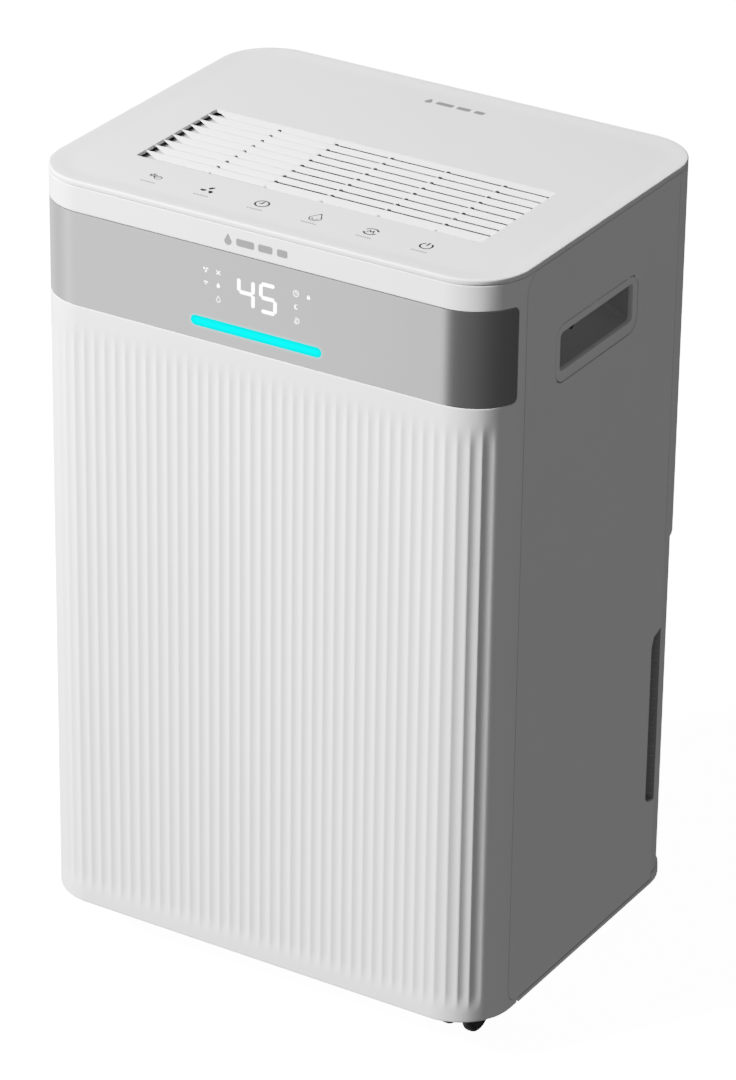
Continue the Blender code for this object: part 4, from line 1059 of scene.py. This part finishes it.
def saw_blade(back_y, left, right, reach, slant):
    """One blade across part of the mouth: a long face down to the front and a thin body."""
    drop = SLOPE * reach
    body = 0.4 * MM
    nose = 0.25 * MM
    section = [
        (back_y, GRILLE_TOP - nose),
        (back_y - nose, GRILLE_TOP),
        (back_y - reach, GRILLE_TOP - drop + SLOPE * nose),
        (back_y - reach - 0.1 * MM, GRILLE_TOP - drop),
        (back_y - reach + 0.2 * MM, GRILLE_TOP - drop - body),
        (back_y - 0.8 * MM, GRILLE_TOP - 2.4 * MM),
        (back_y, GRILLE_TOP - 2.2 * MM),
    ]
    rings = []
    for x, lean in ((left, slant), (right, 0.0)):
        rings.append([(x + lean * (GRILLE_TOP - z), y, z) for y, z in section])
    return skin(rings, caps=(True, True))


class DEHUMIDIFIER_OT_grille(bpy.types.Operator):
    """The outlet grille: nine sloping blades, their ribs and the well under them"""

    bl_idname = "dehumidifier.grille"
    bl_label = "Outlet Grille"

    def execute(self, context):
        left, right = GRILLE_LOW.x + 0.1 * MM, GRILLE_HIGH.x - 0.1 * MM
        front, back, low = GRILLE_LOW.y, GRILLE_HIGH.y, GRILLE_LOW.z
        blades, risers, ribs, rib_shadows = [], [], [], []
        rows = [back - row * PITCH for row in range(BLADES)]
        drop = SLOPE * BLIND_REACH
        for row_y in rows:
            back_y = row_y - 0.05 * MM
            reach = LAST_REACH if row_y == rows[-1] else OPEN_REACH
            blades.append(saw_blade(back_y, left, BLIND_TO, BLIND_REACH, END_SLANT))
            blades.append(saw_blade(back_y, BLIND_TO - 0.4 * MM, right, reach, 0.0))
            foot = back_y - BLIND_REACH
            riser_front = max(back_y - PITCH, front + 0.1 * MM)
            riser_low = (left + END_SLANT * drop, riser_front, low + 0.3 * MM)
            risers.append(block(riser_low, (BLIND_TO, foot + 0.3 * MM, GRILLE_TOP - drop - 0.2 * MM)))
            rib_front = max(back_y - PITCH, front + 0.05 * MM)
            rib_high = GRILLE_TOP - SLOPE * OPEN_REACH * 0.96
            for x in RIBS:
                rib_low = (x - RIB_WIDTH / 2, rib_front, low + 0.2 * MM)
                ribs.append(block(rib_low, (x + RIB_WIDTH / 2, back_y - 0.02 * MM, rib_high)))
        # Small dark blocks beside the ribs: painted shadows that the ribs cast on the blades.
        for row_y in rows[:-1]:
            for x in (RIBS[0], *[rib + RIB_WIDTH / 2 + 1.0 * MM for rib in RIBS[1:]]):
                rib_shadow_low = (x - 1.1 * MM, row_y - 5.1 * MM, GRILLE_TOP - 4.6 * MM)
                rib_shadows.append(block(rib_shadow_low, (x + 1.1 * MM, row_y - 3.2 * MM, GRILLE_TOP - 2.4 * MM)))
        blades = merged(blades + ribs)
        # The blades' darkened white is painted shade on the same white plastic.
        piece("outlet_blades", blades, "grille_white", "casing", ["outlet_grille"], "white_plastic", 30)
        # The risers' grey is painted shade between the blind bays' blades.
        piece("blind_risers", merged(risers), "riser_grey", "casing", slot="white_plastic")
        # The well's surround and floor are grey as painted shade under the blades.
        surround = plate([mouth_outline(0.0), mouth_outline(-1.2 * MM)], low, GRILLE_TOP - 8.2 * MM)
        floor = block((left, front + 0.2 * MM, low), (BLIND_TO, back - 0.2 * MM, GRILLE_TOP - 4.6 * MM))
        piece("outlet_well", merged([surround, floor]), "well_grey", "casing", slot="white_plastic")
        piece("grille_rib_shadows", merged(rib_shadows), "shadow_grey", "casing", slot="white_plastic")
        return {"FINISHED"}


SIGN_PLACES = [(2.6 + 44.2 * place) * MM for place in (-2.5, -1.5, -0.5, 0.5, 1.5, 2.5)]
SIGN_LEVEL = -110 * MM
SIGN_SCALE = 1.36


def touch_signs():
    """The lid's six printed signs from left to right, each drawn about its own middle."""
    stroke = 1.1
    breeze = petals((-2.0, 1.0), 2.4, 5, 0.3)
    breeze += [ring((2.0, -0.6), 2.0, 0.7), capsule((1.2, -0.6), (2.6, 0.5), 0.7)]
    fan = petals(ORIGIN, 4.6, 3, 1.25)
    clock = [ring(ORIGIN, 3.7, stroke, steps=40)]
    clock += [capsule(ORIGIN, (0, 2.1), stroke), capsule(ORIGIN, (-1.2, 0), stroke)]
    drop = [droplet((0, -0.8), 7.4, 0.75), ring((0, -1.4), 1.5, 0.7, 160, 380, 14)]
    zigzag = [(-1.9, -1.4), (-1.0, 1.4), (0.0, -0.6), (1.0, 1.4), (1.9, -1.4)]
    level = [ring(ORIGIN, 3.7, stroke, 20 + turn, 160 + turn, 18) for turn in (0, 180)]
    level += [capsule(start, end, 0.75) for start, end in zip(zigzag, zigzag[1:])]
    power = [ring((0, -0.3), 3.3, stroke, 120, 420, 32), capsule((0, 0.4), (0, 3.6), stroke)]
    return breeze, fan, clock, drop, level, power


def touch_words():
    """A row of short dashes in front of each sign, where a caption would be."""
    half, low, high = 0.5 * MM, -121.2 * MM, -119.6 * MM
    middles = [place + dash * 1.8 * MM for place in SIGN_PLACES for dash in range(-3, 4)]
    return [[rounded(middle - half, middle + half, low, high, 0.2 * MM, 2)] for middle in middles]


class DEHUMIDIFIER_OT_touch_signs(bpy.types.Operator):
    """The touch keys' printed signs on the lid"""

    bl_idname = "dehumidifier.touch_signs"
    bl_label = "Touch Signs"

    def execute(self, context):
        shapes = []
        for place, sign in zip(SIGN_PLACES, touch_signs()):
            shapes += placed(sign, (place, SIGN_LEVEL), SIGN_SCALE)
        on_lid("touch_signs", shapes + touch_words(), "printed_ink", 0.04 * MM, slot="black_plastic")
        return {"FINISHED"}


# ---- Sides and handles --------------------------------------------------------------------

BEZEL_CORNER = 11 * MM
MOUTH_CORNER = 4 * MM
POCKET_DEPTH = 29 * MM
POCKET_STEPS = 16


def across(side, low, high):
    """A span along x, mirrored for the left side."""
    return (low, high) if side > 0 else (-high, -low)


class DEHUMIDIFIER_OT_sides(bpy.types.Operator):
    """The side panels and their recessed grips"""

    bl_idname = "dehumidifier.sides"
    bl_label = "Sides"

    def execute(self, context):
        for name, side in (("left", -1), ("right", 1)):
            refined(f"side_panel_{name}", "white_plastic", 0.45 * MM)
            grip(name, side)
        return {"FINISHED"}


def grip(name, side):
    """A flush bezel round a scooped pocket, with painted shade in the pocket and in a small gap at the bezel.
    """
    y_low, y_high, z_low, z_high = CUP_LOW.y, CUP_HIGH.y, CUP_LOW.z, CUP_HIGH.z
    left, right, low, high = y_low + 6 * MM, y_high - 7 * MM, z_low + 9 * MM, z_high - 6 * MM
    face = HALF_X - 0.1 * MM
    gap = 0.4 * MM
    outer = rounded(y_low + gap, y_high - gap, z_low + gap, z_high - gap, BEZEL_CORNER, 10)
    mouth = rounded(left, right, low, high, MOUTH_CORNER, 8)
    bezel = plate([outer, mouth], *across(side, face - 4.4 * MM, face), "X", 0.5 * MM)
    piece(f"grip_bezel_{name}", bezel, "white_plastic", "casing", [f"handle_cup_{name}"])
    rings = []
    for step in range(POCKET_STEPS + 1):
        t = step / POCKET_STEPS
        floor = low + (high - low) * 0.93 * (1 - sqrt(1 - t**1.9))
        radius = min(MOUTH_CORNER, (high - floor) / 2 - 0.1 * MM)
        pinch = 4 * MM * t**3 - gap
        opening = rounded(left + pinch, right - pinch, floor - 0.3 * MM, high + gap, radius, 8)
        rings.append([(side * (face - 1.2 * MM - POCKET_DEPTH * t), y, z) for y, z in opening])
    mesh = skin(rings, caps=(False, True))
    # The pocket's grey is painted shade inside the scoop.
    pocket = piece(f"grip_pocket_{name}", mesh, "grip_shade", "casing", slot="white_plastic", angle=50)
    thick = pocket.modifiers.new("Wall", "SOLIDIFY")
    thick.thickness = 1.2 * MM
    thick.offset = 1.0
    # A black triangle just inside the bezel's upper front: painted shade of a small gap there.
    notch = [(y_low + y * MM, z_high - z * MM) for y, z in ((19.3, 6.2), (30.7, 6.5), (24.1, 10))]
    gap_shade_plate = plate([notch], *across(side, face - 3.2 * MM, face - 1.9 * MM), "X")
    piece(f"grip_gap_shade_{name}", gap_shade_plate, "black_plastic", "casing")


# ---- Back, tank and base ------------------------------------------------------------------

LOUVRES = 30
LOUVRE_BAYS = 8
PAD_LOW, PAD_HIGH = LOW + 73.5 * MM, LOW + 219.0 * MM
PAD_RIBS = 18


class DEHUMIDIFIER_OT_back(bpy.types.Operator):
    """The rear cover, the base pan and the intake grille's louvres"""

    bl_idname = "dehumidifier.back"
    bl_label = "Back"

    def execute(self, context):
        refined("rear_cover", "white_plastic", 0.4 * MM)
        refined("base_pan", "white_plastic", 0.4 * MM)
        low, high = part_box("intake_grille")
        rim, tuck = 5 * MM, 4.6 * MM
        outer = rounded(low.x, high.x, low.z, high.z, 6 * MM, 8)
        inner = rounded(low.x + rim, high.x - rim, low.z + rim, high.z - rim, 3 * MM, 8)
        made = [plate([outer, inner], low.y + 0.2 * MM, high.y, "Y", 0.5 * MM)]
        pitch = (high.z - low.z - 2 * rim) / LOUVRES
        for row in range(1, LOUVRES):
            z = low.z + rim + row * pitch
            nose = ((0.6, 0.9), (0.3, 0.0), (0.6, -0.9))
            section = [(high.y - depth * MM, z + rise * MM) for depth, rise in nose]
            section += [(low.y + 0.5 * MM, z - fall * MM) for fall in (1.9, 0.4)]
            ends = [[(x, *point) for point in section] for x in (low.x + tuck, high.x - tuck)]
            made.append(skin(ends, caps=(True, True)))
        for rib in range(1, LOUVRE_BAYS):
            x = low.x + (high.x - low.x) * rib / LOUVRE_BAYS
            rib_low = (x - 1.1 * MM, low.y + 0.4 * MM, low.z + tuck)
            made.append(block(rib_low, (x + 1.1 * MM, high.y - 0.5 * MM, high.z - tuck), 0.3 * MM))
        piece("intake_louvres", merged(made), "white_plastic", "filter", ["intake_grille"])
        return {"FINISHED"}


class DEHUMIDIFIER_OT_tank(bpy.types.Operator):
    """The water tank with its lid, its float, and grey pads that paint the shade in its finger slots"""

    bl_idname = "dehumidifier.tank"
    bl_label = "Tank"

    def execute(self, context):
        refined("water_tank", "tank_plastic", 0.5 * MM)
        refined("tank_cover", "grey_plastic", 0.3 * MM)
        refined("tank_float", "grey_plastic", 0.5 * MM)
        for name, side in (("left", -1), ("right", 1)):
            # The pads' grey is painted shade on the finger slots' rear walls.
            piece(f"tank_slot_shade_{name}", slot_shade_pad(side), "grip_shade", "tank", slot="tank_plastic")
        return {"FINISHED"}


def slot_shade_pad(side):
    """A ribbed pad on the tank's lip, where fingertips pull it, grey as painted shade on the finger slot's
    rear wall.
    """
    front, back = PANEL_HIGH.y - 0.1 * MM, PANEL_HIGH.y + 0.4 * MM
    inner, outer = HALF_X - 20 * MM, HALF_X - 0.6 * MM
    near, far = across(side, inner, outer)
    rib_near, rib_far = across(side, inner + 2 * MM, outer - 2 * MM)
    pads = [block((near, front, PAD_LOW), (far, back, PAD_HIGH))]
    for rib in range(PAD_RIBS):
        z = PAD_LOW + (PAD_HIGH - PAD_LOW) * (rib + 0.5) / PAD_RIBS
        rib_high = (rib_far, front + 0.1 * MM, z + 1.0 * MM)
        pads.append(block((rib_near, front - 0.4 * MM, z - 1.0 * MM), rib_high, 0.3 * MM))
    return merged(pads)


# ---- Casters ------------------------------------------------------------------------------


class DEHUMIDIFIER_OT_casters(bpy.types.Operator):
    """Twin-wheel casters: hoods, axles and treaded wheels"""

    bl_idname = "dehumidifier.casters"
    bl_label = "Casters"

    def execute(self, context):
        for corner in ("front_left", "front_right", "rear_left", "rear_right"):
            refined(f"caster_hood_{corner}", "black_plastic", 0.35 * MM)
            refined(f"caster_axle_{corner}", "axle_steel", 0.0)
            for place in ("inner", "outer"):
                wheel(f"caster_wheel_{corner}_{place}")
        return {"FINISHED"}


WHEEL_BORE = 2.6 * MM
WHEEL_PROFILE = (
    (0.26, 0.74), (0.3, 0.6), (0.62, 0.62), (0.67, 0.9), (0.71, 0.98), (0.78, 0.98), (0.8, 0.86),
    (0.83, 0.98), (0.92, 0.9), (0.975, 0.68), (0.995, 0.4), (1.0, 0.12),
)


def wheel(node):
    """A wheel with a rounded tread, a groove round its side and a dished hub."""
    low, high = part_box(node)
    radius, half = (high.z - low.z) / 2, (high.x - low.x) / 2
    side = [(WHEEL_BORE, 0.72 * half)] + [(r * radius, h * half) for r, h in WHEEL_PROFILE]
    mesh = turned(side + [(r, -h) for r, h in side[::-1]], 56)
    mesh.transform(Matrix.Translation((low + high) / 2) @ AXES["X"])
    body = body_of(frame["nodes"][node])[0]
    name = node.replace("caster_wheel", "wheel")
    return piece(name, mesh, "wheel_plastic", body, [node], SLOT_OF[node], 28)


# ---- Inner works --------------------------------------------------------------------------

BARE_EDGES = (
    "filter_mesh", "evaporator_coil", "condenser_coil", "blower_wheel", "blower_housing", "capillary_tube",
    "suction_pipe", "discharge_pipe", "chassis_frame",
)


class DEHUMIDIFIER_OT_inner_works(bpy.types.Operator):
    """Finishes for the refrigeration set, the fan, the electronics and the base"""

    bl_idname = "dehumidifier.inner_works"
    bl_label = "Inner Works"

    def execute(self, context):
        for node in sorted(frame["nodes"]):
            if not frame["nodes"][node].hide_render:
                refined(node, SLOT_OF[node], 0.0 if node in BARE_EDGES else 0.25 * MM)
        return {"FINISHED"}


# ---- Stage --------------------------------------------------------------------------------

AZIMUTH, ELEVATION, ROLL = radians(31.280), radians(26.867), radians(0.766)
AIM = Vector((-0.0569, 0.0984, 0.2644))
DISTANCE = 3.832
LENS = 168.57
LAMP_AIM = Vector((0, 0, 0.35))


def compass(azimuth, elevation):
    """The way towards a compass angle from the front (left is negative) and a height above level."""
    return Vector((sin(azimuth) * cos(elevation), -cos(azimuth) * cos(elevation), sin(elevation)))


def lamp(name, azimuth, elevation, distance, size, power):
    """A rectangular lamp that looks at the body's middle."""
    data = bpy.data.lights.new(name, "AREA")
    data.shape = "RECTANGLE"
    data.size, data.size_y = size
    data.energy = power
    way = compass(radians(azimuth), radians(elevation))
    made = linked(name, data)
    made.location = LAMP_AIM + way * distance
    made.rotation_euler = (-way).to_track_quat("-Z", "Y").to_euler()
    return made


CARD_RADIUS = 4.5
CARD_LEVELS = (
    (0.00, 0.2), (0.139, 0.90), (0.192, 1.08), (0.261, 0.84), (0.31, 1.00), (0.35, 1.44), (0.385, 1.08),
    (0.419, 1.24), (0.434, 0.68), (0.455, 0.25), (0.48, 0.07), (0.52, 0.06), (0.56, 0.06), (1.00, 0.03),
)


def reflection_wall():
    """A curved card that only glossy surfaces see: bright from the left round to the front."""
    surface = Surface("card_light", base_color=(0.0, 0.0, 0.0), roughness=1.0, emission_strength=1.0)
    turned_to = {0: surface.axis("X"), 1: 0.0 - surface.axis("Y")}
    turn = surface.node("ShaderNodeMath", {"operation": "ARCTAN2"}, turned_to)
    stops = [(place, (level, level, level)) for place, level in CARD_LEVELS]
    ramp = surface.node("ShaderNodeValToRGB", {"stops": stops}, {"Fac": (turn + pi) / (2 * pi)})
    surface.set("Emission Color", ramp)
    outline = [polar(ORIGIN, CARD_RADIUS, 2 * pi * step / 64) for step in range(64)]
    mesh = skin([[(x, y, z) for x, y in outline] for z in (-6.0, 0.4)])
    mesh.materials.append(surface.material)
    card = linked("reflection_card", mesh)
    card.visible_camera = card.visible_diffuse = card.visible_shadow = False
    return card


TONES = ((0, 0), (0.15, 0.15), (0.36, 0.345), (0.57, 0.49), (0.9, 0.62), (1.3, 0.73), (1.86, 0.855), (2.6, 1))
FLOOR_HALF = 30


def soften_highlights(view):
    """A tone curve with a long shoulder, so that bright plastic keeps its relief."""
    view.view_transform = "Standard"
    view.use_curve_mapping = True
    mapping = view.curve_mapping
    mapping.clip_max_x = 3.0
    curve = mapping.curves[3]
    curve.points[0].location = TONES[0]
    curve.points[1].location = TONES[-1]
    for tone in TONES[1:-1]:
        curve.points.new(*tone)
    mapping.update()


class DEHUMIDIFIER_OT_stage(bpy.types.Operator):
    """A pale floor, soft studio light and the camera"""

    bl_idname = "dehumidifier.stage"
    bl_label = "Stage"

    def execute(self, context):
        scene = context.scene
        mesh = bpy.data.meshes.new("floor")
        corners = [(x * FLOOR_HALF, y * FLOOR_HALF, 0) for x, y in ((-1, -1), (1, -1), (1, 1), (-1, 1))]
        mesh.from_pydata(corners, [], [(0, 1, 2, 3)])
        surface = Surface("floor_white", base_color=(0.22, 0.22, 0.22), roughness=0.9, emission_strength=2.5)
        patch = surface.noise(0.6, 1)
        surface.set("Emission Color", surface.blend(patch, (0.995, 0.995, 0.995), (1.0, 1.0, 1.0)))
        mesh.materials.append(surface.material)
        floor = linked("floor", mesh)
        floor.visible_diffuse = floor.visible_glossy = floor.visible_shadow = False
        reflection_wall()
        world = bpy.data.worlds.new("soft_room")
        world.use_nodes = True
        background = world.node_tree.nodes["Background"]
        background.inputs["Color"].default_value = (1, 1, 1, 1)
        background.inputs["Strength"].default_value = 0.17
        scene.world = world
        key = lamp("key_light", -37, 38, 3.6, (1.0, 1.0), 344)
        key.visible_glossy = False
        lamp("right_fill", 70, 10, 3.5, (2.5, 2.0), 3)
        data = bpy.data.cameras.new("camera")
        data.lens = LENS
        data.sensor_width = 36
        data.clip_end = 100
        scene.camera = linked("camera", data)
        back = compass(AZIMUTH, ELEVATION)
        right = Vector((cos(AZIMUTH), sin(AZIMUTH), 0))
        up = back.cross(right)
        tilted = right * cos(ROLL) + up * sin(ROLL)
        upright = up * cos(ROLL) - right * sin(ROLL)
        turn = Matrix((tilted, upright, back)).transposed().to_4x4()
        scene.camera.matrix_world = Matrix.Translation(AIM + back * DISTANCE) @ turn
        soften_highlights(scene.view_settings)
        return {"FINISHED"}


# ---- Panel and registration ---------------------------------------------------------------

OPERATORS = (
    DEHUMIDIFIER_OT_front_shell,
    DEHUMIDIFIER_OT_display,
    DEHUMIDIFIER_OT_lid,
    DEHUMIDIFIER_OT_grille,
    DEHUMIDIFIER_OT_badges,
    DEHUMIDIFIER_OT_touch_signs,
    DEHUMIDIFIER_OT_sides,
    DEHUMIDIFIER_OT_back,
    DEHUMIDIFIER_OT_tank,
    DEHUMIDIFIER_OT_casters,
    DEHUMIDIFIER_OT_inner_works,
    DEHUMIDIFIER_OT_stage,
)


class DEHUMIDIFIER_PT_builder(bpy.types.Panel):
    """Buttons for every piece and the settings they share"""

    bl_idname = "DEHUMIDIFIER_PT_builder"
    bl_label = "Dehumidifier"
    bl_space_type = "VIEW_3D"
    bl_region_type = "UI"
    bl_category = "Dehumidifier"

    def draw(self, context):
        for name in DehumidifierSettings.__annotations__:
            self.layout.prop(context.scene.dehumidifier, name)
        for operator in OPERATORS:
            self.layout.operator(operator.bl_idname)


CLASSES = (DehumidifierSettings, *OPERATORS, DEHUMIDIFIER_PT_builder)


def register():
    for known in CLASSES:
        bpy.utils.register_class(known)
    bpy.types.Scene.dehumidifier = bpy.props.PointerProperty(type=DehumidifierSettings)


def unregister():
    del bpy.types.Scene.dehumidifier
    for known in reversed(CLASSES):
        bpy.utils.unregister_class(known)


def main():
    """Build every piece and the stage."""
    register()
    for operator in OPERATORS:
        group, name = operator.bl_idname.split(".")
        getattr(getattr(bpy.ops, group), name)()


if __name__ == "__main__":
    main()
